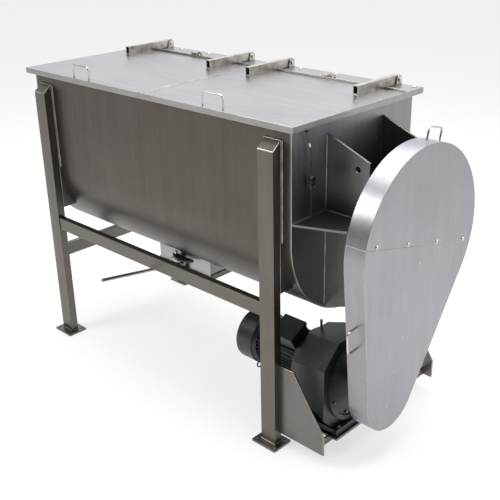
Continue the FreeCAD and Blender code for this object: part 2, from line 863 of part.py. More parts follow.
rail_y = (leg_y - d.rail_depth / 2, leg_y + d.rail_depth / 2)
side_rail = tube("side_rail", (-leg_in, leg_in), rail_y,
                 (d.side_rail_top - d.rail_height, d.side_rail_top), d.leg_wall, "x")
node("side_rails", both_sides("side_rails", side_rail, (0, 1, 0)))
node("idle_end_rail", tube("idle_rail", (-leg_x - d.rail_depth / 2, -leg_x + d.rail_depth / 2),
                           (leg_rear, -leg_rear),
                           (d.cross_rail_top - d.rail_height, d.cross_rail_top), d.leg_wall, "y"))

# ---------------------------------------------------------------- drive end bracket
nose = half_length + d.gusset_reach
gusset_outline = [(half_length, d.gusset_root_foot), (nose, d.gusset_nose_foot),
                  (nose, d.gusset_nose_top), (half_length, d.gusset_root_top)]
lifting_hole = (half_length + d.lifting_hole_reach, d.lifting_hole_height, d.lifting_hole_radius)
gusset_inner = d.gusset_offset - d.gusset_thick / 2
gusset_outer = d.gusset_offset + d.gusset_thick / 2
gusset = prism("gusset", "XZ_Plane", gusset_outline, gusset_inner, gusset_outer, [lifting_hole])

shelf_outline = [(half_length, -r_out), (nose, -d.shelf_nose), (nose, -gusset_outer),
                 (half_length, -gusset_outer)]
shelf = prism("shelf", "XY_Plane", shelf_outline, d.shelf_height, d.shelf_height + d.shelf_thick)
node("drive_end_gussets", both_sides("gussets", group("gusset_side", gusset, shelf), (0, 1, 0)))

plate_half = d.bearing_plate_half
bearing_hole = [(ZERO, axis_z, d.bearing_plate_hole)]
node("drive_bearing_plate", prism("bearing_plate", "YZ_Plane",
                                  rectangle((-gusset_inner, gusset_inner),
                                            (axis_z - plate_half, axis_z + plate_half)),
                                  nose - d.bearing_plate_thick, nose, bearing_hole))

idle_nose = -(half_length + d.idle_gusset_reach)
idle_root = plate_half + d.idle_gusset_flare
idle_outline = [(-half_length, axis_z - idle_root), (-half_length, axis_z + idle_root),
                (idle_nose, axis_z + plate_half), (idle_nose, axis_z - plate_half)]
idle_inner = d.idle_gusset_offset - d.gusset_thick / 2
idle_outer = d.idle_gusset_offset + d.gusset_thick / 2
idle_gusset = prism("idle_gusset", "XZ_Plane", idle_outline, idle_inner, idle_outer)
idle_plate = prism("idle_plate", "YZ_Plane",
                   rectangle((-idle_inner, idle_inner), (axis_z - plate_half, axis_z + plate_half)),
                   idle_nose, idle_nose + d.bearing_plate_thick, bearing_hole)
node("idle_bearing_bracket", group("idle_bracket", idle_plate,
                                   both_sides("idle_gussets", idle_gusset, (0, 1, 0))))


# ---------------------------------------------------------------- bearings and shaft seals
journal_bore = d.journal_radius + d.journal_clearance


def flange_bearing(name, face, outward):
    """A four-bolt flange bearing on a face across X; outward is 1 or -1."""
    flange_end = face + outward * d.bearing_flange
    body_end = face + outward * d.bearing_body
    side, corner = d.bearing_side / 2, d.bearing_side / 2 - d.bearing_corner
    outline = [(-corner, -side), (corner, -side), (side, -corner), (side, corner), (corner, side),
               (-corner, side), (-side, corner), (-side, -corner)]
    outline = [(a, axis_z + b) for a, b in outline]
    low, high = (face, flange_end) if outward > 0 else (flange_end, face)
    flange = prism(name, "YZ_Plane", outline, low, high, [(ZERO, axis_z, journal_bore)])
    low, high = (flange_end, body_end) if outward > 0 else (body_end, flange_end)
    body = prism(name, "YZ_Plane", [(a, axis_z + b) for a, b in polygon(16, d.bearing_body_radius)],
                 low, high, [(ZERO, axis_z, journal_bore)])
    half = d.bearing_bolt_spacing / 2
    turn = TO_X if outward > 0 else TO_MINUS_X
    bolts = [head("bearing_bolt", turn, d.bearing_bolt_radius, d.bearing_bolt_radius, flange_end,
                  i * half, axis_z + j * half, 6) for i in (-1, 1) for j in (-1, 1)]
    return group(name, fuse(name, flange, body), *bolts)


node("drive_bearing", flange_bearing("drive_bearing", nose, 1))
node("idle_bearing", flange_bearing("idle_bearing", idle_nose, -1))

box_end = half_length + d.seal_box_length
gland_face = box_end + d.gland_gap
seal_parts = [
    prism("seal_box", "YZ_Plane", [(a, axis_z + b) for a, b in polygon(24, d.seal_box_radius)],
          half_length, box_end, [(ZERO, axis_z, journal_bore)]),
    prism("gland", "YZ_Plane", [(a, axis_z + b) for a, b in polygon(24, d.gland_radius)],
          gland_face, gland_face + d.gland_thick, [(ZERO, axis_z, journal_bore)])]
for side in (-1, 1):
    stud_y = side * d.stud_circle
    seal_parts.append(head("stud", TO_X, d.stud_radius, gland_face - half_length, half_length,
                           stud_y, axis_z, 6))
    seal_parts.append(head("stud_nut", TO_X, 2 * d.stud_radius, 2 * d.stud_radius,
                           gland_face + d.gland_thick, stud_y, axis_z, 6))
node("shaft_seals", both_sides("seals", group("seal", *seal_parts), (1, 0, 0)))

# ---------------------------------------------------------------- agitator
body_half = inner_end - d.shaft_body_gap
shaft = turned("shaft", [
    (-d.idle_journal_end, ZERO), (-d.idle_journal_end, d.journal_radius),
    (-body_half, d.journal_radius), (-body_half, d.shaft_radius), (body_half, d.shaft_radius),
    (body_half, d.journal_radius), (d.drive_journal_end, d.journal_radius),
    (d.drive_journal_end, ZERO)], ZERO, axis_z)
node("agitator_shaft", shaft)

ribbon_travel = inner_end - d.ribbon_end_gap - d.ribbon_thick


def ribbon(name, outer, width, hand):
    """One blade of the drive half: a flat bar wound one full turn about the shaft.  It is built
    from flat facets, because a swept helix would need ten times as many triangles."""
    facets = int(d.ribbon_facets.value)
    thick, travel = d.ribbon_thick.value, ribbon_travel.value
    inside, outside = (outer - width).value, outer.value
    rings = []
    for index in range(facets + 1):
        x = travel * index / facets
        turn = Rotation(Vector(1, 0, 0), hand * 360.0 * index / facets)
        section = ((x, inside), (x + thick, inside), (x + thick, outside), (x, outside))
        rings.append([turn.multVec(Vector(a, 0, r)) for a, r in section])
    corners = [(rings[0][0], rings[0][1], rings[0][2]), (rings[0][0], rings[0][2], rings[0][3]),
               (rings[-1][2], rings[-1][1], rings[-1][0]), (rings[-1][3], rings[-1][2], rings[-1][0])]
    for before, after in zip(rings, rings[1:]):
        for index in range(4):
            other = (index + 1) % 4
            corners.append((before[index], after[index], after[other]))
            corners.append((before[index], after[other], before[other]))
    faces = [Part.Face(Part.makePolygon([a, b, c, a])) for a, b, c in corners]
    solid = Part.Solid(Part.Shell(faces))
    if solid.Volume < 0:
        solid.reverse()
    piece = new("Part::Feature", name)
    piece.Shape = solid
    return put(piece)


def all_blades(name, blade):
    """Both starts of a ribbon, in both halves: the halves are mirror images."""
    opposite = put(group(name, blade), turn=Rotation(Vector(1, 0, 0), 180))
    half = put(group(name, blade, opposite), ZERO, ZERO, axis_z)
    return both_sides(name, half, (1, 0, 0))


outer_edge = inner_radius - d.ribbon_clearance
node("outer_ribbons", all_blades("outer_ribbons", ribbon("outer_ribbon", outer_edge,
                                                        d.outer_ribbon_width, 1)))
node("inner_ribbons", all_blades("inner_ribbons", ribbon("inner_ribbon", d.inner_ribbon_radius,
                                                        d.inner_ribbon_width, -1)))

spoke_start = d.shaft_radius - d.spoke_sink
spoke_length = outer_edge - d.outer_ribbon_width / 3 - spoke_start
SPOKE_TURNS = {"up": Rotation(), "down": Rotation(Vector(1, 0, 0), 180),
               "front": Rotation(Vector(1, 0, 0), 90), "rear": Rotation(Vector(1, 0, 0), -90)}
spokes = []
for quarter in range(-4, 5):
    side = (quarter > 0) - (quarter < 0)
    x = ribbon_travel * quarter / 4 + d.ribbon_thick / 2 * side
    for way in ("up", "down") if quarter % 2 == 0 else ("front", "rear"):
        turn = SPOKE_TURNS[way]
        reach = turn.multVec(Vector(0, 0, 1))
        spokes.append(head("spoke", turn, d.spoke_radius, spoke_length, x, spoke_start * reach.y,
                           axis_z + spoke_start * reach.z))
node("ribbon_spokes", group("spokes", *spokes))

# ---------------------------------------------------------------- chain drive
# The drive's own coordinates: down the centre line from the agitator to the gearmotor, and
# across it towards +Y.
lean_sin, lean_cos = sine(d.drive_lean), cosine(d.drive_lean)


def down_line(distance, across=ZERO):
    return (across * lean_cos - distance * lean_sin,
            axis_z - distance * lean_cos - across * lean_sin)


def on_circle(radius, degrees):
    return radius * cosine(degrees), radius * sine(degrees)


big_radius = d.chain_pitch / 2 / sine(180 / d.driven_teeth)
small_radius = d.chain_pitch / 2 / sine(180 / d.drive_teeth)
big_seat, small_seat = 75.0, 67.5
big_last = on_circle(big_radius, big_seat)
small_last = on_circle(small_radius, small_seat)
span = d.span_links * d.chain_pitch
fall = big_last[1] - small_last[1]
centre_distance = big_last[0] - small_last[0] + root(span * span - fall * fall)
motor_y, motor_z = down_line(centre_distance)

seats = []
for index in range(29):
    seats.append(on_circle(big_radius, big_seat + 7.5 * index))
span_count = int(d.span_links.value)
for index in range(1, span_count):
    step = index / span_count
    seats.append((big_last[0] + (centre_distance + small_last[0] - big_last[0]) * step,
                  -(big_last[1] + (small_last[1] - big_last[1]) * step)))
for index in range(7):
    x, y = on_circle(small_radius, -small_seat + 22.5 * index)
    seats.append((centre_distance + x, y))
for index in range(1, span_count):
    step = index / span_count
    seats.append((centre_distance + small_last[0] + (big_last[0] - centre_distance - small_last[0]) * step,
                  small_last[1] + (big_last[1] - small_last[1]) * step))


def link_plates(name, gap):
    """The two plates of one link, from its first pin at the origin along +Y."""
    half = d.link_height / 2
    y = (-half, d.chain_pitch + half)
    return [box(name, (gap, gap + d.link_plate), y, (-half, half)),
            box(name, (-gap - d.link_plate, -gap), y, (-half, half))]


roller = head("roller", TO_X, d.roller_radius, d.roller_width, -d.roller_width / 2, ZERO, ZERO, 6)
inner_link = group("inner_link", roller, *link_plates("inner_plate", d.roller_width / 2))
outer_link = group("outer_link", roller, *link_plates("outer_plate",
                                                      d.roller_width / 2 + d.link_plate))
links = []
for index, seat in enumerate(seats):
    y, z = down_line(*seat)
    next_y, next_z = down_line(*seats[(index + 1) % len(seats)])
    lean = math.degrees(math.atan2(next_z.value - z.value, next_y.value - y.value))
    link = group("link", inner_link if index % 2 == 0 else outer_link)
    links.append(put(link, d.chain_line, y, z, turn=Rotation(Vector(1, 0, 0), lean)))
node("roller_chain", group("chain", *links))


def sprocket(name, teeth, radius, bore, y, z, hub):
    """A toothed wheel with a seat for a roller in every gap, between two hub rings."""
    low, high = d.chain_line - d.tooth_width / 2, d.chain_line + d.tooth_width / 2
    body = new("PartDesign::Body", name)
    blank = sketch_on(body, "YZ_Plane", low)
    circle(blank, ZERO, ZERO, radius + d.chain_pitch * 0.28)
    circle(blank, ZERO, ZERO, bore)
    pad = body.newObject("PartDesign::Pad", body.Name + "_pad")
    pad.Profile = blank
    bind(pad, Length=high - low)
    gap = sketch_on(body, "YZ_Plane", high)
    floor, mouth = d.roller_radius + 0.9, radius + 16
    draw(gap, [(-d.gap_floor, radius - floor), (d.gap_floor, radius - floor), (d.gap_mouth, mouth),
               (-d.gap_mouth, mouth)])
    pocket = body.newObject("PartDesign::Pocket", body.Name + "_gap")
    pocket.Profile = gap
    bind(pocket, Length=high - low + 1)
    pattern = body.newObject("PartDesign::PolarPattern", body.Name + "_teeth")
    pattern.Originals = [pocket]
    pattern.Axis = (blank, ["N_Axis"])
    pattern.Angle = 360
    pattern.Occurrences = int(teeth.value)
    body.Tip = pattern
    put(body, ZERO, y, z, turn=Rotation(Vector(1, 0, 0), -SIZES["drive_lean"]))
    ring = [(y + a, z + b) for a, b in polygon(20, hub)]
    return fuse(name, body, prism(name, "YZ_Plane", ring, hub_low, low, [(y, z, bore)]),
                prism(name, "YZ_Plane", ring, high, hub_high, [(y, z, bore)]))


hub_low = d.chain_line - 34
hub_high = d.chain_line + 22
windows = []
for index in range(6):
    middle_y, middle_z = on_circle(d.window_circle, 60 * index)
    window = head("window", TO_X, d.window_radius, d.tooth_width + 2,
                  d.chain_line - d.tooth_width / 2 - 1, middle_y, axis_z + middle_z, 6)
    windows.append(window)
driven = sprocket("driven", d.driven_teeth, big_radius, d.journal_radius, ZERO, axis_z,
                  d.driven_hub_radius)
node("driven_sprocket", cut("driven_with_windows", driven, group("windows", *windows)))
node("drive_sprocket", sprocket("drive", d.drive_teeth, small_radius, d.output_radius, motor_y,
                                motor_z, d.drive_hub_radius))
output_start = d.gearbox_front - 50
output = rod("output_shaft", "x", output_start + 1, hub_high + 4, d.output_radius, motor_y,
             motor_z)
node("output_shaft", output)

# ---------------------------------------------------------------- chain guard
front_x = d.guard_back + d.guard_depth
tangent_cos = (d.guard_top_radius - d.guard_foot_radius) / centre_distance
tangent_sin = root(1 - tangent_cos * tangent_cos)


def teardrop(inset):
    """Two circles, round the two sprockets, with their common tangents."""
    top, foot = d.guard_top_radius - inset, d.guard_foot_radius - inset
    upper = (top * tangent_cos, top * tangent_sin)
    lower = (centre_distance + foot * tangent_cos, foot * tangent_sin)
    return [down_line(upper[0], upper[1]),
            down_line(upper[0], -upper[1]) + (top, ZERO, axis_z, 1),
            down_line(lower[0], -lower[1]),
            down_line(lower[0], lower[1]) + (foot, motor_y, motor_z, 1)]


def teardrop_plate(name, inset, low, high, holes=()):
    return prism(name, "YZ_Plane", teardrop(inset), low, high, holes)


guard_outer = teardrop_plate("guard_outer", ZERO, d.guard_back, front_x)
guard_inner = teardrop_plate("guard_inner", d.guard_sheet, d.guard_back - 1,
                             front_x - d.guard_sheet)
shell = cut("guard_shell", guard_outer, guard_inner)
wide = d.guard_top_radius + 60
below = centre_distance + d.guard_foot_radius + 40
lower_outline = [down_line(d.guard_seam_drop, -wide), down_line(below, -wide),
                 down_line(below, wide), down_line(d.guard_seam_drop, wide)]
lower_block = prism("guard_lower_block", "YZ_Plane", lower_outline, d.guard_back - 2, front_x + 10)
node("guard_upper", cut("guard_upper_half", shell, lower_block))

lap_sin, lap_cos = sine(d.guard_lap_lean), cosine(d.guard_lap_lean)


def on_lap(distance, across=ZERO):
    """A point of the riveted lap, from its top rivet down its own line, and across it."""
    return (d.lap_top_y + across * lap_cos - distance * lap_sin,
            d.lap_top_z - across * lap_sin - distance * lap_cos)


lap_outline = [on_lap(-300, d.guard_lap_margin), on_lap(-300, -700), on_lap(900, -700),
               on_lap(900, d.guard_lap_margin)]
lap_face = front_x + d.guard_lap_sheet
lap_sheet = common("lap_sheet", teardrop_plate("lap", ZERO, front_x, lap_face),
                   prism("lap_side", "YZ_Plane", lap_outline, front_x - 1, lap_face + 1),
                   lower_block)
node("guard_lower", fuse("guard_lower_half", common("guard_lower_shell", shell, lower_block),
                         lap_sheet))

heads = []
for index in range(4):
    y, z = down_line(d.guard_seam_drop - d.guard_bolt_lift, d.guard_bolt_pitch * (index - 1.5))
    heads.append(head("guard_bolt", TO_X, d.guard_bolt_radius, d.guard_bolt_height, front_x, y, z))
for index in range(5):
    y, z = on_lap(d.guard_rivet_pitch * index)
    heads.append(head("guard_rivet", TO_X, d.guard_rivet_radius, d.guard_rivet_height,
                      lap_face, y, z))
node("guard_fasteners", group("guard_heads", *heads))

guard_middle = d.guard_back + d.guard_depth / 2
SPAN_ACROSS = Rotation(Vector(0, 0, 1), 90)
top_y, top_z = down_line(-d.guard_top_radius + 4)
top_handle = wire_handle("guard_handle", d.guard_handle_span, d.guard_handle_height + 4,
                         Rotation(Vector(1, 0, 0), -SIZES["drive_lean"]) * SPAN_ACROSS,
                         guard_middle, top_y, top_z)
side_upper, _, side_lower, _ = [corner[:2] for corner in teardrop(ZERO)]
left_upper = down_line(d.guard_top_radius * tangent_cos, -d.guard_top_radius * tangent_sin)
side_share = (left_upper[1] - d.guard_side_handle_z) / (left_upper[1] - side_lower[1])
side_y = left_upper[0] + (side_lower[0] - left_upper[0]) * side_share
side_lean = math.degrees(math.atan2(left_upper[0].value - side_lower[0].value,
                                    left_upper[1].value - side_lower[1].value))
side_handle = wire_handle("guard_handle", d.guard_handle_span, d.guard_handle_height,
                          Rotation(Vector(1, 0, 0), 90 - side_lean) * SPAN_ACROSS,
                          guard_middle, side_y, d.guard_side_handle_z)
node("guard_handles", group("guard_handle_pair", cut("top_handle", top_handle, guard_outer),
                            side_handle))

back_holes = [(ZERO, axis_z, d.driven_hub_radius + 8), (motor_y, motor_z, d.drive_hub_radius + 8)]
back_plate = teardrop_plate("back_plate", d.guard_sheet + d.guard_gap, d.guard_back,
                            d.guard_back + d.guard_sheet, back_holes)
spacers = [head("spacer", TO_X, d.spacer_radius, d.guard_back - nose, nose, i * d.spacer_y,
                axis_z + j * d.spacer_z) for i in (-1, 1) for j in (-1, 1)]
node("guard_back_plate", group("back_plate_set", back_plate, *spacers))

# ---------------------------------------------------------------- gearmotor
output_bore = d.output_radius + d.journal_clearance


def drum_section(body, x, half, flat):
    """An eight-sided section of the gearbox across X, about the body's own axis."""
    section = sketch_on(body, "YZ_Plane", x)
    draw(section, [(-flat, -half), (flat, -half), (half, -flat), (half, flat), (flat, half),
                   (-flat, half), (-half, flat), (-half, -flat)])
    return section


drum = new("PartDesign::Body", "drum")
drum_back = drum_section(drum, d.gearbox_drum_back, d.drum_back_half, d.drum_back_flat)
drum_front = drum_section(drum, d.gearbox_drum_front, d.drum_front_half, d.drum_front_flat)
drum_loft = drum.newObject("PartDesign::AdditiveLoft", "drum_loft")
drum_loft.Profile = drum_back
drum_loft.Sections = [drum_front]
drum_loft.Ruled = True
drum.Tip = drum_loft
put(drum, ZERO, motor_y, motor_z)
recess_depth = 12
rim_radius = d.gearbox_rim_radius
rim_ring = head("gearbox_rim", TO_X, rim_radius, d.gearbox_front - d.gearbox_drum_front,
                d.gearbox_drum_front, motor_y, motor_z, 24)
neck = head("gearbox_neck", TO_X, d.gearbox_neck_radius, d.gearbox_drum_back - d.gearbox_back,
            d.gearbox_back, motor_y, motor_z, 20)
foot_top = d.base_plate_top + d.gearbox_foot_thick
pedestal_half = d.drum_front_flat
foot_flare = d.gearbox_foot_half - 46
gear_foot = box("gearbox_foot", (d.gearbox_foot_back, d.gearbox_foot_front),
                (motor_y - d.gearbox_foot_half, motor_y + d.gearbox_foot_half),
                (d.base_plate_top, foot_top))
pedestal = prism("pedestal", "YZ_Plane", [
    (motor_y - foot_flare, foot_top - 1), (motor_y + foot_flare, foot_top - 1),
    (motor_y + pedestal_half + 62, motor_z - 120), (motor_y - pedestal_half - 62, motor_z - 120)],
    d.gearbox_foot_back + 10, d.gearbox_drum_front)
recess = d.gearbox_front - recess_depth
recess_hole = head("recess", TO_X, rim_radius - 18, recess_depth + 1, recess, motor_y, motor_z, 24)
output_hole = head("output_hole", TO_X, output_bore + 1, d.gearbox_front + 14 - output_start,
                   output_start, motor_y, motor_z, 16)
case = fuse("gearbox", drum, rim_ring, neck, gear_foot, pedestal)
housing = cut("gearbox_bored", case, recess_hole, output_hole)
node("gearbox_housing", housing)

fasteners = []
for x, inset in ((d.gearbox_foot_back + 16, 13), (d.gearbox_foot_front - 11, 26)):
    for side in (-1, 1):
        fasteners.append(head("foot_bolt", Rotation(), 10, 9, x,
                              motor_y + side * (d.gearbox_foot_half - inset), foot_top, 6))
for index in range(8):
    across, up = on_circle(rim_radius - 32, 22.5 + 45 * index)
    fasteners.append(head("case_bolt", TO_X, 8, 7, recess, motor_y + across, motor_z + up, 6))
breather = head("breather", Rotation(), 6, d.breather_top - motor_z - 120, d.breather_x, motor_y,
                motor_z + 120, 6)
fasteners.append(cut("breather_seated", breather, housing))
node("gearbox_fasteners", group("gearbox_bolts", *fasteners))

frame_front = d.motor_flange_back
bell_start = frame_front - 12
fan_bore = d.motor_shaft_radius + d.journal_clearance
shaft_end = d.motor_frame_back + 30
motor_barrel = head("motor_barrel", TO_X, d.motor_frame_radius, frame_front - d.motor_frame_back,
                    d.motor_frame_back, ZERO, ZERO, 20)
motor_flange = head("motor_flange", TO_X, d.gearbox_neck_radius, d.gearbox_back - frame_front,
                    frame_front, ZERO, ZERO, 20)
back_ring = head("motor_back_ring", TO_X, d.fan_cover_radius - 2, 6, d.motor_frame_back, ZERO, ZERO, 20)
fin_bar = box("fin", (d.motor_frame_back + 6, bell_start),
              (-d.motor_fin_thick / 2, d.motor_fin_thick / 2),
              (d.motor_frame_radius - 4, d.motor_frame_radius + d.motor_fin_height))
fins = []
fin_count = int(d.motor_fins.value)
for index in range(fin_count):
    fin = group("fin_copy", fin_bar)
    fins.append(put(fin, turn=Rotation(Vector(1, 0, 0), 360.0 * (index + 0.5) / fin_count)))
SIDEWAYS = Rotation(Vector(1, 0, 0), 90)
eye = cut("eye", head("eye_disc", SIDEWAYS, d.eye_radius, 8, d.eye_x, 4, -d.eye_reach, 8),
          head("eye_hole", SIDEWAYS, d.eye_hole, 12, d.eye_x, 6, -d.eye_reach, 8))
eye_stem = head("eye_stem", Rotation(), 5, d.eye_reach - d.eye_radius - 88, d.eye_x, ZERO,
                d.eye_radius - d.eye_reach - 1, 6)
eye_set = put(group("eye_set", fuse("lifting_eye", eye, eye_stem)),
              turn=Rotation(Vector(1, 0, 0), SIZES["eye_lean"]))
terminal_turn = Rotation(Vector(1, 0, 0), SIZES["terminal_lean"])
terminal_foot = d.motor_frame_radius + d.motor_fin_height + 2
terminal_x = (d.terminal_x - d.terminal_length / 2, d.terminal_x + d.terminal_length / 2)
terminal_y = (-d.terminal_width / 2, d.terminal_width / 2)
terminal_seat = put(group("terminal_seat", box("seat", terminal_x, terminal_y,
                                               (d.motor_frame_radius - 30, terminal_foot))),
                    turn=terminal_turn)
fan_hole = head("fan_hole", TO_X, fan_bore + 1, shaft_end + 1 - d.motor_frame_back,
                d.motor_frame_back - 1, ZERO, ZERO, 12)
motor_frame = cut("motor_bored", fuse("motor_frame", motor_barrel, motor_flange, back_ring, eye_set,
                                      terminal_seat, *fins), fan_hole)
put(motor_frame, ZERO, motor_y, motor_z)
node("motor_frame", motor_frame)

cover_radius = d.fan_cover_radius
cover_sheet = d.fan_cover_sheet
fan_cover = cut("fan_cover", head("fan_bell", TO_X, cover_radius, d.motor_frame_back - d.fan_cover_back,
                                  d.fan_cover_back, motor_y, motor_z, 20),
                head("fan_room", TO_X, cover_radius - cover_sheet,
                     d.motor_frame_back - d.fan_cover_back, d.fan_cover_back + cover_sheet, motor_y, motor_z, 20))
slot_bar = box("slot", (d.fan_cover_back - 5, d.fan_cover_back + 6), (-7, 7), (30, 88))
slots = []
for index in range(6):
    slot = group("slot_copy", slot_bar)
    slots.append(put(slot, ZERO, motor_y, motor_z, turn=Rotation(Vector(1, 0, 0), 60.0 * index)))
node("motor_fan_cover", cut("vented_cover", fan_cover, group("slots", *slots)))

hub_start = d.fan_cover_back + 22
fan_shaft = rod("fan_shaft", "x", hub_start + 30, shaft_end - 1, d.motor_shaft_radius, ZERO, ZERO)
fan_hub = head("fan_hub", TO_X, d.motor_shaft_radius + 12, 32, hub_start, ZERO, ZERO, 12)
blade_bar = box("blade", (hub_start, hub_start + 32), (-1.5, 1.5),
                (d.motor_shaft_radius + 8, cover_radius - 22))
blades = []
for index in range(6):
    blade = group("blade_copy", blade_bar)
    blades.append(put(blade, turn=Rotation(Vector(1, 0, 0), 60.0 * index)))
node("motor_fan", put(fuse("fan", fan_shaft, fan_hub, *blades), ZERO, motor_y, motor_z))

lid_foot = terminal_foot + d.terminal_depth - 14
terminal_box = box("terminal", terminal_x, terminal_y, (terminal_foot, lid_foot))
terminal_lid = box("terminal_lid", (terminal_x[0] - 4, terminal_x[1] + 4),
                   (terminal_y[0] - 4, terminal_y[1] + 4), (lid_foot, lid_foot + 14))
plug = head("terminal_plug", TO_MINUS_X, 13, 12, terminal_x[0], ZERO,
            terminal_foot + d.terminal_depth / 2, 8)
node("motor_terminal_box", put(fuse("terminal_box", terminal_box, terminal_lid, plug), ZERO,
                               motor_y, motor_z, turn=terminal_turn))

# ---------------------------------------------------------------- motor base
base_start = leg_out
base_outline = [(base_start, d.base_gusset_top), (base_start + d.base_gusset_ledge, d.base_gusset_top),
                (base_start + d.base_gusset_reach, d.base_gusset_nose),
                (base_start + d.base_gusset_reach, d.base_gusset_foot),
                (base_start, d.base_gusset_foot)]
base_inner = -leg_rear + 2
base_gusset = prism("base_gusset", "XZ_Plane", base_outline, base_inner,
                    base_inner + d.base_gusset_thick)
node("motor_base_gussets", both_sides("base_gussets", base_gusset, (0, 1, 0)))
base_front = base_start + d.base_gusset_reach + 5
plate_foot = d.base_plate_top - d.base_plate_thick
base_plate = box("base_plate", (base_start + 12, base_front),
                 (-d.base_plate_front, d.base_plate_rear), (plate_foot, d.base_plate_top))
cross_plates = [box("cross_plate", (x, x + d.cross_plate_thick), (-base_inner, base_inner),
                    (d.base_gusset_foot, plate_foot))
                for x in (base_start + 40, base_front - 55)]
node("motor_base_plates", group("base_plates", base_plate, *cross_plates))

# ---------------------------------------------------------------- discharge
spout_x, spout_y = d.spout_length / 2, d.spout_width / 2
spout = tube("spout", (-spout_x, spout_x), (-spout_y, spout_y), (d.spout_foot, axis_z),
             d.spout_wall, "z")
belly = rod("belly", "x", -half_length, half_length, r_out, ZERO, axis_z)
spindle_x, spindle_y = -d.spindle_offset, -spout_y - 23
lug_top = d.spout_foot + d.gate_lug_height
lever_height = lug_top + d.lever_clearance
bracket_low = lever_height - 16
bracket_high = bracket_low + 10
lever_bracket = prism("bracket", "XY_Plane",
                      rectangle((spindle_x - 20, spindle_x + 20), (spindle_y - 15, -spout_y)),
                      bracket_low, bracket_high,
                      [(spindle_x, spindle_y, d.spindle_radius + d.journal_clearance)])
node("discharge_box", group("discharge", cut("spout_on_belly", spout, belly), lever_bracket))

gate_top = d.spout_foot - d.gate_gap
gate_foot = gate_top - d.gate_thick
gate_front = -spout_y - 15
gate_plate = box("gate", (-spout_x + 2, spout_x - 2), (gate_front, spout_y), (gate_foot, gate_top))
lug = box("gate_lug", (-d.gate_lug / 2, d.gate_lug / 2), (gate_front - d.gate_thick, gate_front),
          (gate_foot, lug_top))
gate = fuse("gate_with_lug", gate_plate, lug)
node("discharge_gate", gate)

guide_foot = gate_foot - d.guide_clearance - d.guide_wall
guide_section = [(spout_x, guide_foot), (spout_x + d.guide_wall, guide_foot),
                 (spout_x + d.guide_wall, d.spout_foot + 12), (spout_x, d.spout_foot + 12)]
guide_web = prism("guide", "XZ_Plane", guide_section, -spout_y, spout_y)
guide_ledge = box("guide_ledge", (spout_x - 20, spout_x + 1), (-spout_y, spout_y),
                  (guide_foot, guide_foot + d.guide_wall))
node("gate_guides", both_sides("guides", fuse("guide_side", guide_web, guide_ledge), (1, 0, 0)))

rod_start = gate_front - d.gate_thick / 2
rod_z = d.spout_foot + 28
pull_rod = new("Part::Cylinder", "pull_rod")
bind(pull_rod, Radius=d.rod_radius, Height=d.rod_length)
put(pull_rod, ZERO, rod_start, rod_z, turn=Rotation(Vector(1, 0, 0), 90 - SIZES["rod_rise"]))
node("pull_rod", cut("rod_on_lug", pull_rod, gate))

lever_top = lever_height + d.lever_thick
spindle_head = head("spindle_head", Rotation(), d.spindle_radius + 3, 7, spindle_x, spindle_y,
                    bracket_low - 8, 6)
spindle_pin = rod("spindle_pin", "z", bracket_low - 8, lever_top + d.spindle_stub, d.spindle_radius, spindle_x,
                  spindle_y)
node("lever_spindle", fuse("spindle", spindle_head, spindle_pin))


def bow_side(offset):
    """The corners of one side of the lever's bow, an arc drawn with few corners."""
    half_span = d.lever_span / 2 + offset
    corners = []
    for index in range(7):
        share = -1 + index / 3
        x = d.lever_middle + half_span * share
        corners.append((x, spindle_y - (d.lever_bow + offset) * (1 - share * share) - 4))
    return corners


lever_back = spindle_y + d.lever_back / 2
outer_side = bow_side(ZERO)
inner_side = bow_side(-d.lever_width)
left_end, right_end = outer_side[0][0], outer_side[-1][0]
lever_plate = prism("lever", "XY_Plane", [(left_end, lever_back)] + outer_side
                    + [(right_end, lever_back)], lever_height, lever_top)
lever_window = prism("lever_window", "XY_Plane", [
    (inner_side[1][0], spindle_y - d.lever_back / 2)] + inner_side[1:-1]
    + [(inner_side[-2][0], spindle_y - d.lever_back / 2)], lever_height - 1, lever_top + 1)
lever_hub = head("lever_hub", Rotation(), d.lever_back + 2, d.lever_thick, spindle_x, spindle_y,
                 lever_height, 8)
lever = fuse("lever_with_hub", cut("lever_loop", lever_plate, lever_window), lever_hub)
node("gate_lock_lever", cut("lever_on_spindle", lever, spindle_pin))

# ---------------------------------------------------------------- cover lock lugs
lugs = []
lug_y = seam + d.lock_lug_set
for side in (-1, 1):
    x = side * d.lock_lug_x
    lugs.append(box("lock_block", (x - 15, x + 15), (lug_y, lug_y + 20), (cover_top, cover_top + 18)))
    eye_x = x + 37
    eye_base = cover_top + 8
    lugs.append(prism("lock_eye", "XZ_Plane", [
        (eye_x - 16, cover_top), (eye_x + 16, cover_top), (eye_x + 16, eye_base),
        (eye_x + 10, eye_base + 12), (eye_x, eye_base + 16), (eye_x - 10, eye_base + 12),
        (eye_x - 16, eye_base)], lug_y + 8, lug_y + 12, [(eye_x, eye_base + 2, 6)]))
node("cover_lock_lugs", group("lock_lugs", *lugs))

# ---------------------------------------------------------------- interlock cord
gland_x, gland_y = half_length + 12, -d.gland_side
flange_foot = rim - d.flange_thick
gland_foot = flange_foot - 26
gland_neck = head("cord_gland", Rotation(), 7, 16, gland_x, gland_y, gland_foot)
gland_nut = head("cord_gland_nut", Rotation(), 10, 10, gland_x, gland_y, flange_foot - 10, 6)
node("cord_gland", fuse("gland_set", gland_neck, gland_nut))


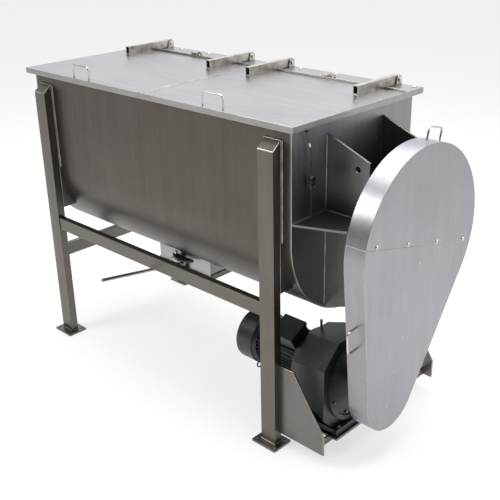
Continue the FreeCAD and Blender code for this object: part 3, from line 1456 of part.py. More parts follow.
def cord(name, points):
    """A cord's tube: straight runs joined by tangent arcs as large as the runs allow."""
    edges, radii = [], []
    start = points[0]
    for before, corner, after in zip(points, points[1:], points[2:]):
        arriving, leaving = corner - before, after - corner
        half_turn = arriving.getAngle(leaving) / 2
        reach = 0.45 * min(arriving.Length, leaving.Length)
        radius = reach / math.tan(half_turn)
        arriving.normalize()
        leaving.normalize()
        inward = leaving - arriving
        inward.normalize()
        entry, leave = corner - arriving * reach, corner + leaving * reach
        middle = corner + inward * (radius / math.cos(half_turn) - radius)
        edges.append(Part.LineSegment(start, entry).toShape())
        edges.append(Part.Arc(entry, middle, leave).toShape())
        radii.append(round(radius, 1))
        start = leave
    edges.append(Part.LineSegment(start, points[-1]).toShape())
    path = Part.Wire(edges)
    along = Rotation(Vector(0, 0, 1), points[1] - points[0])
    rim_points = [points[0] + along.multVec(Vector(a.value, b.value, 0))
                  for a, b in polygon(8, d.cord_radius)]
    section = Part.makePolygon(rim_points + rim_points[:1])
    tube_piece = new("Part::Feature", name)
    tube_piece.Shape = path.makePipeShell([section], True, False)
    expected = path.Length * Part.Face(section).Area
    print("%s radii %s, volume %.3f of its section times its length"
          % (name, radii, tube_piece.Shape.Volume / expected))
    return put(tube_piece)


hank_top, hank_foot = gland_foot - 168, gland_foot - 216
upper_route = [Vector(807, -305, 1310), Vector(808, -303, 1290), Vector(812, -292, 1262),
               Vector(816, -283, 1225), Vector(814, -279, 1185), Vector(810, -277, 1142)]
tail_route = [Vector(810, -276, 1094), Vector(811, -278, 1060), Vector(812, -281, 1020),
              Vector(812, -284, 990)]
node("interlock_cord", group("cord_runs", cord("cord_upper", upper_route),
                             cord("cord_tail", tail_route)))
hank_outline = [(-284, hank_foot), (-270, hank_foot), (-263, hank_foot + 7), (-263, hank_top - 7),
                (-270, hank_top), (-284, hank_top), (-291, hank_top - 7), (-291, hank_foot + 7)]
node("cord_hank", prism("hank", "YZ_Plane", hank_outline, half_length + 11, half_length + 19))

# ---------------------------------------------------------------- origin, checks and files
doc.recompute()
boxes = [thing.Shape.optimalBoundingBox(False) for thing in nodes.values()]
origin_x = -(min(b.XMin for b in boxes) + max(b.XMax for b in boxes)) / 2
origin_y = -(min(b.YMin for b in boxes) + max(b.YMax for b in boxes)) / 2
for row, amount in enumerate((origin_x, origin_y), start=origin_row):
    sheet.set("B%d" % row, "%.6f" % amount)
doc.recompute()

for thing in doc.Objects:
    if "Invalid" in thing.State or "Error" in thing.State:
        raise RuntimeError("%s failed: %s" % (thing.Name, thing.State))
for name, thing in nodes.items():
    if thing.Shape.isNull() or not thing.Shape.isValid():
        raise RuntimeError("%s has no valid shape" % name)
    if not thing.Shape.Solids:
        raise RuntimeError("%s holds no solid" % name)

os.makedirs("parts", exist_ok=True)
for name, thing in nodes.items():
    thing.Shape.exportStep("parts/%s.step" % name)
    print("%-28s %3d solids %10.1f cm3" % (name, len(thing.Shape.Solids), thing.Shape.Volume / 1000))
print("%d nodes, origin shift %.4f %.4f" % (len(nodes), origin_x, origin_y))
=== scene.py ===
# %% [markdown]
# # A ribbon blender in brushed stainless steel
# The imported model is loaded as a fixed frame.  Every piece below is placed by it, in metres.  The frame's box
# is measured at once.

# %% Load the frame
import json
import math

import bpy
from mathutils import Matrix, Vector

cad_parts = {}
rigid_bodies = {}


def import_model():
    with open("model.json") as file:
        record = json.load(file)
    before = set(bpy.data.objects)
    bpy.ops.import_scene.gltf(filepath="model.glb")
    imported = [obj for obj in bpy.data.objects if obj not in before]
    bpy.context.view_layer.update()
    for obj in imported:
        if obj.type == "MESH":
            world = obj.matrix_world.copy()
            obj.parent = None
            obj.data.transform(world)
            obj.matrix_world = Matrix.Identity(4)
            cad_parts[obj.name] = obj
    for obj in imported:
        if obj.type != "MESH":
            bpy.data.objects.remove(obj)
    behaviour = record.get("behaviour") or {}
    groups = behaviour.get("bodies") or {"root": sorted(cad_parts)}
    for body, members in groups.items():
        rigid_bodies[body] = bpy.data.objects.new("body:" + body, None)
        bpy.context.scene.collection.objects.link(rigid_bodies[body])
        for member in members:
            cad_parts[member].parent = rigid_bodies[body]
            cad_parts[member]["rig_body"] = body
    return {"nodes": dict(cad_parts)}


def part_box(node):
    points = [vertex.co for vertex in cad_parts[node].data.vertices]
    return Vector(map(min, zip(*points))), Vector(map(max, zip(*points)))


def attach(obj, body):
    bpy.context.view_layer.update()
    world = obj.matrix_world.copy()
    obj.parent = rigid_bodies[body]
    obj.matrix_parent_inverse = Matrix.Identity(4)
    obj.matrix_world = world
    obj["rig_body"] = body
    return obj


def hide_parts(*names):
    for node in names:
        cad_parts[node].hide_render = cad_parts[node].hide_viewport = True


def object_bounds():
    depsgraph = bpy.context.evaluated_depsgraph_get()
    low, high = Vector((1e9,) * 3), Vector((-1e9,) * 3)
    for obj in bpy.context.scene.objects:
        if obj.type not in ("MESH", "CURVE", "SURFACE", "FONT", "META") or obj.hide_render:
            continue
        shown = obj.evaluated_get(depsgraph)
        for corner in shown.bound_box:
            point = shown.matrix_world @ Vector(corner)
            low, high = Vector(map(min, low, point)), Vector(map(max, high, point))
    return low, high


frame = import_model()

cad_low, cad_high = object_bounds()
print("nodes:", len(frame["nodes"]), "box:", [round(v, 3) for v in (*cad_low, *cad_high)])

# %% [markdown]
# The machine is easier to think about from the middle of its trough, in millimetres.  The four legs stand
# evenly about that middle, so their box gives it.

# %% The machine's own middle
legs_low, legs_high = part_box("legs")
MIDDLE = Vector(((legs_low.x + legs_high.x) / 2, (legs_low.y + legs_high.y) / 2, 0))


def at(x, y, z):
    """A place in metres from millimetres about the middle of the trough."""
    return MIDDLE + Vector((x, y, z)) / 1000


print("middle of the trough:", [round(v, 4) for v in MIDDLE])

# %% [markdown]
# ## The camera
# A camera is a place, three turns and a lens.  It looks down on the machine from the front right corner.

# %% Camera
yaw, pitch, roll = math.radians(44.292), math.radians(23.629), math.radians(-1.170)
forward = Vector((-math.sin(yaw) * math.cos(pitch), math.cos(yaw) * math.cos(pitch), -math.sin(pitch)))
level_right = forward.cross(Vector((0, 0, 1))).normalized()
level_up = level_right.cross(forward)
right = math.cos(roll) * level_right + math.sin(roll) * level_up
up = math.cos(roll) * level_up - math.sin(roll) * level_right
camera_data = bpy.data.cameras.new("camera")
camera_data.lens = 59.34
camera_data.sensor_width = 36
camera = bpy.data.objects.new("camera", camera_data)
camera.matrix_world = Matrix.Translation(at(2615.4, -2453.4, 2090.0)) @ Matrix(
    (right, up, -forward)).transposed().to_4x4()
bpy.context.collection.objects.link(camera)
bpy.context.scene.camera = camera
print("camera at", [round(v, 3) for v in camera.location])

# %% [markdown]
# ## Light, floor and backdrop
# A studio gives metal something to reflect.  Steel takes its look from what surrounds it, so the world is
# brighter behind the machine than in front of it.  One function adds each shader node.

# %% A function that adds a shader node


def linear(code):
    """A colour written as sRGB hex, turned into the linear values that shaders take."""
    values = []
    for index in (1, 3, 5):
        share = int(code[index:index + 2], 16) / 255
        values.append(share / 12.92 if share <= 0.04045 else ((share + 0.055) / 1.055) ** 2.4)
    return (*values, 1.0)


def add(tree, kind, inputs=None, **settings):
    """Adds one node with its settings; inputs maps a socket to a value or to another socket."""
    made = tree.nodes.new(kind)
    for name, value in settings.items():
        setattr(made, name, value)
    for socket, value in (inputs or {}).items():
        if isinstance(value, bpy.types.NodeSocket):
            tree.links.new(value, made.inputs[socket])
        else:
            made.inputs[socket].default_value = value
    return made


# %% [markdown]
# The world goes from dim and warm in front of the machine to bright and cool behind it.

# %% World


world = bpy.data.worlds.new("studio")
world.use_nodes = True
bpy.context.scene.world = world
sky = world.node_tree
sky.nodes.clear()
direction = add(sky, "ShaderNodeTexCoord").outputs["Generated"]
turned = add(sky, "ShaderNodeMapping", {"Vector": direction, "Rotation": (0, 0, math.radians(-25))})
apart = add(sky, "ShaderNodeSeparateXYZ", {"Vector": turned.outputs[0]})
behind = add(sky, "ShaderNodeMapRange", {"Value": apart.outputs["Y"], "From Min": -0.7, "From Max": 0.8})
room = add(sky, "ShaderNodeMapRange", {"Value": behind.outputs[0], "To Min": 0.12, "To Max": 1.3})
walls = add(sky, "ShaderNodeMix", {0: behind.outputs[0], 6: linear("#fff3e4"), 7: linear("#f3f3fb")},
            data_type="RGBA")
sky_light = add(sky, "ShaderNodeBackground", {"Color": walls.outputs[2], "Strength": room.outputs[0]})
add(sky, "ShaderNodeOutputWorld", {"Surface": sky_light.outputs[0]})
bpy.context.scene.view_settings.view_transform = "Standard"
print("world:", world.name)

# %% [markdown]
# The floor is a pale sheet.  A little light of its own, for what looks at it and for what mirrors it, makes
# it white and leaves it its shadow.

# %% Floor


FLOOR_SIZE = 60
FLOOR_DROP = 0.0005
FLOOR_GLOW = 0.60


bpy.ops.mesh.primitive_plane_add(size=FLOOR_SIZE, location=(0, 0, cad_low.z - FLOOR_DROP))
floor = bpy.context.object
floor.name = "floor"
paper = bpy.data.materials.new("white_studio_paper")
paper.use_nodes = True
tree = paper.node_tree
tree.nodes.clear()
path = add(tree, "ShaderNodeLightPath")
mirrored = add(tree, "ShaderNodeMath", {0: path.outputs["Is Glossy Ray"],
                                        1: path.outputs["Is Transmission Ray"]}, operation="MAXIMUM")
seen = add(tree, "ShaderNodeMath", {0: path.outputs["Is Camera Ray"], 1: mirrored.outputs[0]},
           operation="MAXIMUM")
glow = add(tree, "ShaderNodeMath", {0: seen.outputs[0], 1: FLOOR_GLOW}, operation="MULTIPLY")
sheet = add(tree, "ShaderNodeBsdfDiffuse", {"Color": linear("#b0b0b0")})
light = add(tree, "ShaderNodeEmission", {"Color": linear("#ffffff"), "Strength": glow.outputs[0]})
both = add(tree, "ShaderNodeAddShader", {0: sheet.outputs[0], 1: light.outputs[0]})
add(tree, "ShaderNodeOutputMaterial", {"Surface": both.outputs[0]})
floor.data.materials.append(paper)
print("floor:", FLOOR_SIZE, "m wide")

# %% [markdown]
# Three soft boxes: a wide one overhead, a small one by the camera, and one beside the guard.

# %% Soft boxes


def soft_box(name, place, aim, size, power):
    """A square lamp that looks at a point."""
    data = bpy.data.lights.new(name, "AREA")
    data.shape = "RECTANGLE"
    data.size, data.size_y = size
    data.energy = power
    box = bpy.data.objects.new(name, data)
    box.location = place
    box.rotation_euler = (aim - place).to_track_quat("-Z", "Y").to_euler()
    bpy.context.collection.objects.link(box)


soft_box("overhead", at(200, 300, 4200), at(0, 0, 800), (4.5, 3.5), 170)
soft_box("left_of_camera", at(-1500, -2600, 3400), at(900, -200, 1100), (1.3, 1.3), 60)
soft_box("right_of_guard", at(4200, 900, 2200), at(900, 0, 1000), (2.0, 2.0), 45)
print("lamps:", len(bpy.data.lights))

# %% [markdown]
# ## The finishes
# Stainless sheet is ground and brushed along its length, so its scratches run one way.  The scratches
# themselves are finer than a tenth of a millimetre, which would not show, so they are drawn as streaks a few
# millimetres wide, with broad bands and faint clouds from handling.

# %% Brushed stainless steel


def material(name, hex_colour, metallic, roughness, **sockets):
    """A new material with its shader, and its constants set on the shader's own sockets."""
    made = bpy.data.materials.new(name)
    made.use_nodes = True
    made.diffuse_color = linear(hex_colour)
    shader = made.node_tree.nodes["Principled BSDF"]
    shader.inputs["Base Color"].default_value = linear(hex_colour)
    shader.inputs["Metallic"].default_value = metallic
    shader.inputs["Roughness"].default_value = roughness
    for socket, value in sockets.items():
        shader.inputs[socket.replace("_", " ")].default_value = value
    return made, made.node_tree, shader


GRAIN = {"x": (0.05, 1, 1), "y": (1, 0.05, 1), "z": (1, 1, 0.05)}
STREAK = 1 / 0.004
BAND = 1 / 0.03
CLOUD = 1 / 0.25


def brushed(name, dark, pale, roughness, along):
    """Brushed sheet: the grain runs along one axis."""
    made, tree, shader = material(name, pale, 1.0, roughness)
    place = add(tree, "ShaderNodeTexCoord").outputs["Object"]
    stretch = add(tree, "ShaderNodeMapping", {"Vector": place, "Scale": GRAIN[along]}).outputs[0]
    streaks = add(tree, "ShaderNodeTexNoise", {"Vector": stretch, "Scale": STREAK, "Detail": 2.0})
    bands = add(tree, "ShaderNodeTexNoise", {"Vector": stretch, "Scale": BAND, "Detail": 3.0})
    clouds = add(tree, "ShaderNodeTexNoise", {"Vector": place, "Scale": CLOUD, "Detail": 4.0})
    mixed = add(tree, "ShaderNodeMath", {0: bands.outputs["Fac"], 1: clouds.outputs["Fac"]},
                operation="ADD")
    tone = add(tree, "ShaderNodeMapRange", {"Value": mixed.outputs[0], "From Min": 0.7, "From Max": 1.3})
    colour = add(tree, "ShaderNodeMix", {0: tone.outputs[0], 6: linear(dark), 7: linear(pale)},
                 data_type="RGBA")
    tree.links.new(colour.outputs[2], shader.inputs["Base Color"])
    rough = add(tree, "ShaderNodeMapRange", {"Value": streaks.outputs["Fac"], "From Min": 0.3,
                                             "From Max": 0.7, "To Min": roughness - 0.05,
                                             "To Max": roughness + 0.06})
    tree.links.new(rough.outputs[0], shader.inputs["Roughness"])
    bump = add(tree, "ShaderNodeBump", {"Height": streaks.outputs["Fac"], "Strength": 0.25,
                                        "Distance": 0.0004})
    tree.links.new(bump.outputs[0], shader.inputs["Normal"])
    return made


cover_steel = brushed("satin_brushed_stainless_cover", "#9b9a98", "#a9a8a6", 0.33, "x")
# The trough's darker tone is painted shade: it stands in for the shade on its front, which faces away from the
# bright side of the room.
trough_steel_darkened_for_shade = brushed("brushed_stainless_trough_with_painted_shade", "#5b5650", "#645f59", 0.38, "z")
# The end plates' paler tone is painted light: it brightens them to stand in for the light falling on the drive
# end plate's upper part.
end_plate_steel_with_painted_light = brushed("brushed_stainless_end_plate_with_painted_light", "#8b898a", "#979597", 0.36, "z")
plate_steel = brushed("brushed_stainless_plate", "#75716e", "#807d7a", 0.36, "z")
guard_steel = brushed("satin_brushed_stainless_guard", "#98969c", "#a2a0a6", 0.34, "z")
tube_steel = {axis: brushed("brushed_stainless_tube_along_" + axis, "#69655f", "#736f69", 0.34, axis)
              for axis in GRAIN}
print("brushed finishes:", 5 + len(tube_steel))

# %% [markdown]
# Handles, pins and the gate's rod are polished bar, which is smoother and paler.  Welded corners are ground
# back by hand, so the edge of a plate is brighter than its face, and that paler edge also paints its highlight.

# %% Polished bar, and ground edges with a painted highlight


def mottled(name, dark, pale, metallic, roughness, size, depth, **sockets):
    """A finish with soft patches of one size in metres, and a surface that is uneven by depth."""
    made, tree, shader = material(name, pale, metallic, roughness, **sockets)
    place = add(tree, "ShaderNodeTexCoord").outputs["Object"]
    patches = add(tree, "ShaderNodeTexNoise", {"Vector": place, "Scale": 1 / (14 * size), "Detail": 4.0})
    grit = add(tree, "ShaderNodeTexNoise", {"Vector": place, "Scale": 1 / size, "Detail": 3.0})
    tone = add(tree, "ShaderNodeMapRange", {"Value": patches.outputs["Fac"], "From Min": 0.35,
                                            "From Max": 0.65})
    colour = add(tree, "ShaderNodeMix", {0: tone.outputs[0], 6: linear(dark), 7: linear(pale)},
                 data_type="RGBA")
    tree.links.new(colour.outputs[2], shader.inputs["Base Color"])
    rough = add(tree, "ShaderNodeMapRange", {"Value": patches.outputs["Fac"], "From Min": 0.3,
                                             "From Max": 0.7, "To Min": roughness - 0.04,
                                             "To Max": roughness + 0.06})
    tree.links.new(rough.outputs[0], shader.inputs["Roughness"])
    bump = add(tree, "ShaderNodeBump", {"Height": grit.outputs["Fac"], "Strength": 0.4,
                                        "Distance": depth})
    tree.links.new(bump.outputs[0], shader.inputs["Normal"])
    return made


polished = mottled("polished_stainless_bar", "#bdbab6", "#d6d4d0", 1.0, 0.16, 0.004, 0.00005)
# On the rounded edges it is given to, this paler tone is partly painted highlight along those edges.
ground_edge_and_highlight = mottled("hand_ground_stainless_edge_with_painted_highlight", "#a9a59e", "#cfccc4", 1.0, 0.30, 0.003, 0.0002)
weld = mottled("brushed_weld_bead", "#8d8780", "#bdb8b0", 1.0, 0.34, 0.003, 0.0008)
wet = mottled("polished_product_side_stainless", "#a8a5a1", "#bcbab6", 1.0, 0.28, 0.005, 0.0001)
oiled = mottled("oiled_roller_chain_steel", "#3d3a36", "#6a655e", 1.0, 0.34, 0.002, 0.0002)
turned_steel = mottled("machined_carbon_steel", "#77736d", "#96918a", 1.0, 0.32, 0.003, 0.0001)

# %% [markdown]
# The gearmotor is cast iron and aluminium under one dark blue-green machine enamel.  Paint on a casting keeps
# some of its grain, and shines softly.

# %% Paint, iron, rubber and plastics
enamel = mottled("machine_enamel_on_cast_iron", "#1a2426", "#243033", 0.0, 0.38, 0.0025, 0.0004,
                 Coat_Weight=0.15, Coat_Roughness=0.3)
iron = mottled("painted_cast_iron", "#5d605f", "#6f7271", 0.0, 0.45, 0.002, 0.0005)
silicone = mottled("moulded_white_silicone", "#c9c7c1", "#dcdad5", 0.0, 0.55, 0.004, 0.0001)
phenolic = mottled("moulded_black_phenolic", "#0d0d0e", "#1a1a1c", 0.0, 0.32, 0.003, 0.0001)
nylon = mottled("moulded_black_nylon", "#141415", "#202022", 0.0, 0.5, 0.003, 0.0001)
jacket = mottled("extruded_grey_vinyl_jacket", "#33353b", "#43464d", 0.0, 0.45, 0.004, 0.00005)
blue = mottled("moulded_blue_vinyl", "#1f3f8f", "#2a52ad", 0.0, 0.4, 0.003, 0.00005)
chrome = mottled("nickel_plated_brass", "#c9c8c6", "#e2e1df", 1.0, 0.14, 0.003, 0.00002)
print("finishes:", len(bpy.data.materials))

# %% [markdown]
# Every solid of the model gets its own finish.  Sheet and tube are brushed along their length.

# %% Finish each solid
FINISH = (
    (cover_steel, "cover_left cover_right fixed_cover_strip discharge_box"),
    (trough_steel_darkened_for_shade, "trough_shell"),
    (end_plate_steel_with_painted_light, "drive_end_plate idle_end_plate"),
    (plate_steel, "leg_brackets drive_end_gussets drive_bearing_plate idle_bearing_bracket "
                  "motor_base_gussets gate_guides discharge_gate"),
    (guard_steel, "guard_upper guard_lower guard_back_plate"),
    (tube_steel["x"], "side_rails motor_base_plates"),
    (tube_steel["y"], "idle_end_rail foot_plates"),
    (tube_steel["z"], "legs leg_caps"),
    (ground_edge_and_highlight, "hinge_brackets cover_lock_lugs cover_left_hinge_arms cover_right_hinge_arms"),
    (polished, "cover_left_handle cover_right_handle guard_handles hinge_pins strip_bolts "
               "guard_fasteners pull_rod lever_spindle"),
    (wet, "agitator_shaft outer_ribbons inner_ribbons ribbon_spokes shaft_seals"),
    (silicone, "rim_gasket"),
    (oiled, "roller_chain"),
    (turned_steel, "driven_sprocket drive_sprocket output_shaft gearbox_fasteners"),
    (enamel, "gearbox_housing motor_frame motor_fan_cover motor_terminal_box"),
    (iron, "drive_bearing idle_bearing"),
    (phenolic, "gate_lock_lever"),
    (nylon, "cord_gland motor_fan"),
    (jacket, "interlock_cord cord_hank"),
)
finish_of = {}
for finish, names in FINISH:
    for name in names.split():
        finish_of[name] = finish
for name, solid in frame["nodes"].items():
    for slot in solid.material_slots:
        slot.material = finish_of[name]
print("finished solids:", len(finish_of), "of", len(frame["nodes"]))

# %% [markdown]
# ## Soften the sheet and the tube
# No real edge is perfectly sharp: tube has rounded corners, cut sheet is deburred, and a welded corner is
# ground.  A copy of the solid is merged, its flat faces are joined up, and a bevel rounds what is left.  The
# bevel's own faces take the brighter ground finish where the edge has been dressed with a disc, and this paler
# finish also paints a highlight along the edge.

# %% Functions that soften a solid


def body_of(node):
    """The body that carries a solid of the model."""
    return frame["nodes"][node]["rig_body"]


def only(thing):
    """Selects one object and nothing else."""
    bpy.ops.object.select_all(action="DESELECT")
    thing.select_set(True)
    bpy.context.view_layer.objects.active = thing


def apply_all(thing):
    """Applies an object's modifiers in their order."""
    only(thing)
    for modifier in list(thing.modifiers):
        bpy.ops.object.modifier_apply(modifier=modifier.name)


def smooth(thing, degrees=35):
    """Rounded shading up to an angle, sharp beyond it, with flat faces kept flat."""
    only(thing)
    bpy.ops.object.shade_smooth_by_angle(angle=math.radians(degrees))
    flat = thing.modifiers.new("flat_faces", "WEIGHTED_NORMAL")
    flat.keep_sharp = True
    apply_all(thing)


def rod(sides, radius, depth, place=(0, 0, 0), turn=(0, 0, 0)):
    """A cylinder in metres with its place and turn applied, as a blank for other shapes."""
    bpy.ops.mesh.primitive_cylinder_add(vertices=sides, radius=radius, depth=depth, location=place,
                                        rotation=turn)
    bpy.ops.object.transform_apply(location=True, rotation=True, scale=True)
    return bpy.context.object


ALONG_X = (0, math.radians(90), 0)


def stand_for(piece, body, *nodes):
    """A piece rides on a body, and stands for the solids whose finish it takes."""
    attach(piece, body)
    if nodes:
        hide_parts(*nodes)
    return piece


def rounded(thing, width, segments=3, edge=None):
    """Rounds an object's sharp edges by a width in millimetres; the new faces may take a finish."""
    bevel = thing.modifiers.new("rounded", "BEVEL")
    bevel.width = width / 1000
    bevel.segments = segments
    bevel.limit_method = "ANGLE"
    bevel.angle_limit = math.radians(35)
    if edge:
        thing.data.materials.append(edge)
        bevel.material = 1
    apply_all(thing)
    smooth(thing)


def softened(node, width, edge=None):
    """A copy of a solid with rounded edges, which stands for it.  Width is in millimetres."""
    solid = frame["nodes"][node]
    copy = bpy.data.objects.new(node + "_dressed", solid.data.copy())
    bpy.context.collection.objects.link(copy)
    only(copy)
    bpy.ops.object.mode_set(mode="EDIT")
    bpy.ops.mesh.select_all(action="SELECT")
    bpy.ops.mesh.remove_doubles(threshold=0.00002)
    bpy.ops.mesh.dissolve_limited(angle_limit=math.radians(1.0))
    bpy.ops.object.mode_set(mode="OBJECT")
    copy.data.materials.clear()
    copy.data.materials.append(finish_of[node])
    rounded(copy, width, edge=edge)
    stand_for(copy, body_of(node), node)


# %% [markdown]
# Each solid with the width of its rounding in millimetres, and the finish of the rounded edges.

# %% Soften them
SOFTENED = (
    ("legs", 4.0, None), ("leg_caps", 2.0, ground_edge_and_highlight), ("side_rails", 4.0, None),
    ("idle_end_rail", 4.0, None), ("foot_plates", 1.2, ground_edge_and_highlight), ("leg_brackets", 1.0, ground_edge_and_highlight),
    ("drive_end_gussets", 1.0, ground_edge_and_highlight), ("drive_end_plate", 1.0, ground_edge_and_highlight), ("trough_shell", 1.0, None),
    ("idle_end_plate", 1.0, ground_edge_and_highlight), ("drive_bearing_plate", 1.2, ground_edge_and_highlight),
    ("idle_bearing_bracket", 1.2, ground_edge_and_highlight), ("guard_upper", 1.0, ground_edge_and_highlight), ("guard_lower", 1.0, ground_edge_and_highlight),
    ("guard_back_plate", 0.8, None), ("cover_left", 1.0, ground_edge_and_highlight), ("cover_right", 1.0, ground_edge_and_highlight),
    ("fixed_cover_strip", 0.8, ground_edge_and_highlight), ("motor_base_gussets", 1.2, ground_edge_and_highlight),
    ("motor_base_plates", 1.2, ground_edge_and_highlight), ("discharge_box", 0.8, ground_edge_and_highlight), ("gate_guides", 0.8, None),
    ("discharge_gate", 0.8, None), ("cover_left_hinge_arms", 1.2, None),
    ("cover_right_hinge_arms", 1.2, None), ("hinge_brackets", 0.8, None), ("hinge_pins", 0.8, None),
    ("cover_lock_lugs", 0.8, None), ("gearbox_housing", 6.0, None), ("motor_terminal_box", 4.0, None),
    ("drive_bearing", 2.5, None), ("idle_bearing", 2.5, None), ("shaft_seals", 1.0, None),
    ("agitator_shaft", 1.5, None), ("driven_sprocket", 0.8, None), ("drive_sprocket", 0.8, None),
    ("output_shaft", 1.0, None), ("lever_spindle", 0.8, None), ("gate_lock_lever", 2.5, None),
    ("pull_rod", 1.5, None), ("cord_gland", 0.8, None), ("motor_fan", 0.6, None),
)
for node, width, edge in SOFTENED:
    softened(node, width, edge)
print("softened:", len(SOFTENED))

# %% [markdown]
# ## The interlock's cord
# A thin grey cable leaves its gland under the cover's lip, hangs down the end plate, is wound into a small
# tied hank, and ends bare with a blue sleeve.  A NURBS curve follows a few points the way a cable follows its
# fixings, so the whole cord is one such curve, and the hank's turns are more points of it.

# %% The cord's route
CORD_EXIT = (807, -305, 1310)
HANK_FOLD = 15.3
HANK_HALF_RUN = 7.0
HANK_Y, HANK_Z = -277.0, 1118.0
HANK_FIRST_X = 802.5
HANK_TURNS = 3
TURN_WIDTH = 5.2
POINTS_A_TURN = 14
HALF_TURN = POINTS_A_TURN // 2
route = [CORD_EXIT, (808, -303, 1290), (812, -292, 1262), (816, -283, 1225), (814, -281, 1190),
         (807, -288, 1160), (803, -292, 1140)]
for index in range(HANK_TURNS * POINTS_A_TURN + 1):
    step = index % POINTS_A_TURN
    lower = step < HALF_TURN
    angle = math.radians(180 + 180 / (HALF_TURN - 1) * (step if lower else step - 1))
    route.append((HANK_FIRST_X + index * TURN_WIDTH / POINTS_A_TURN,
                  HANK_Y + HANK_FOLD * math.cos(angle),
                  HANK_Z + (-HANK_HALF_RUN if lower else HANK_HALF_RUN) + HANK_FOLD * math.sin(angle)))
route += [(817, -291, 1098), (815, -286, 1078), (812, -281, 1050), (811, -281, 1020), (812, -284, 990)]
curve = bpy.data.curves.new("interlock_cable", "CURVE")
curve.dimensions = "3D"
curve.resolution_u = 8
spline = curve.splines.new("NURBS")
spline.points.add(len(route) - 1)
for point, (x, y, z) in zip(spline.points, route):
    point.co = (*at(x, y, z), 1)
spline.order_u = 3
spline.use_endpoint_u = True
cable = bpy.data.objects.new("interlock_cable", curve)
bpy.context.collection.objects.link(cable)


def line_of(thing):
    """The points that a curve with no thickness follows, in order."""
    bpy.context.view_layer.update()
    mesh = bpy.data.meshes.new_from_object(thing.evaluated_get(bpy.context.evaluated_depsgraph_get()))
    return [v.co.copy() for v in mesh.vertices]


line = line_of(cable)
curve.bevel_depth = 0.0025
curve.bevel_resolution = 3
curve.use_fill_caps = True
curve.materials.append(jacket)

# %% [markdown]
# The ferrule, the tie and the sleeve sit on the cord, so each one is placed and aimed by the cord's own line.

# %% Pieces on the cord
POINTS_ABOVE_HANK = 40
POINTS_BELOW_HANK = 30
HANK_TOP = 1.15


def along_line(height):
    """The place and direction of the hanging cord nearest to a height in metres, from its upper end."""
    run = line[:POINTS_ABOVE_HANK] if height > HANK_TOP else line[-POINTS_BELOW_HANK:]
    index = min(range(len(run) - 1), key=lambda i: abs(run[i].z - height))
    return run[index], (run[index + 1] - run[index]).normalized()


def sleeve(name, height, radius, length, finish, waist=0.0):
    """A short turned sleeve with rounded rims on the cord."""
    middle, aim = along_line(height)
    piece = rod(20, radius, length)
    piece.name = name
    bpy.ops.object.mode_set(mode="EDIT")
    bpy.ops.mesh.subdivide(number_cuts=1)
    bpy.ops.object.mode_set(mode="OBJECT")
    for vertex in piece.data.vertices:
        if abs(vertex.co.z) < length / 4:
            vertex.co.x *= 1 - waist
            vertex.co.y *= 1 - waist
    piece.data.transform(Matrix.Translation(middle) @ aim.to_track_quat("Z", "Y").to_matrix().to_4x4())
    piece.data.materials.append(finish)
    rounded(piece, 0.5)
    return stand_for(piece, "machine")


ferrule = sleeve("cord_ferrule", 1.262, 0.0042, 0.014, chrome, 0.06)
tip = sleeve("cord_blue_sleeve", 0.9955, 0.0031, 0.010, blue)
bpy.ops.mesh.primitive_torus_add(major_segments=36, minor_segments=8, major_radius=0.0135,
                                 minor_radius=0.0012)
tie = bpy.context.object
tie.name = "cord_tie"
tie.data.transform(Matrix.Translation(at(810, HANK_Y, HANK_Z)) @ Matrix.Diagonal((0.85, 1.4, 2.4, 1)))
tie.data.materials.append(nylon)
smooth(tie, 60)
stand_for(tie, "machine")
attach(cable, "machine")
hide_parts("interlock_cord", "cord_hank")
print("pieces on the cord: 3")

# %% [markdown]
# ## Bent wire handles
# Each handle is one polished wire bent twice and welded by its feet.  A line with rounded corners is given
# the wire's thickness and made a mesh.

# %% A function that bends a bar
WIRE_RADIUS = 0.004
WIRE_BEND = 0.017


def bent_bar(name, corners, radius, bend, finish, steps=8):
    """A round bar through corners, each rounded by a bend; all lengths are in metres."""
    points = [corners[0]]
    for before, corner, after in zip(corners, corners[1:], corners[2:]):
        start = corner + (before - corner).normalized() * bend
        end = corner + (after - corner).normalized() * bend
        for step in range(steps + 1):
            share = step / steps
            points.append((1 - share) ** 2 * start + 2 * share * (1 - share) * corner + share ** 2 * end)
    points.append(corners[-1])
    line = bpy.data.curves.new(name, "CURVE")
    line.dimensions = "3D"
    run = line.splines.new("POLY")
    run.points.add(len(points) - 1)
    for point, place in zip(run.points, points):
        point.co = (*place, 1)
    line.bevel_depth = radius
    line.bevel_resolution = 3
    line.use_fill_caps = True
    bar = bpy.data.objects.new(name, line)
    bpy.context.collection.objects.link(bar)
    only(bar)
    bpy.ops.object.convert(target="MESH")
    bar = bpy.context.object
    bar.data.materials.clear()
    bar.data.materials.append(finish)
    smooth(bar, 60)
    return bar


def handle(name, foot, across, outward, span, height):
    """A wire handle that stands on a face: across and outward are unit directions."""
    half = across * span / 2
    top = outward * height
    return bent_bar(name, [foot - half, foot - half + top, foot + half + top, foot + half],
                    WIRE_RADIUS, WIRE_BEND, polished)


def joined(name, *parts):
    """Several meshes made one object."""
    only(parts[0])
    for part in parts:
        part.select_set(True)
    bpy.ops.object.join()
    whole = bpy.context.object
    whole.name = name
    return whole


# %% [markdown]
# One handle stands on each cover.  The guard has one on its rim, leaning back with it, and one on its side.

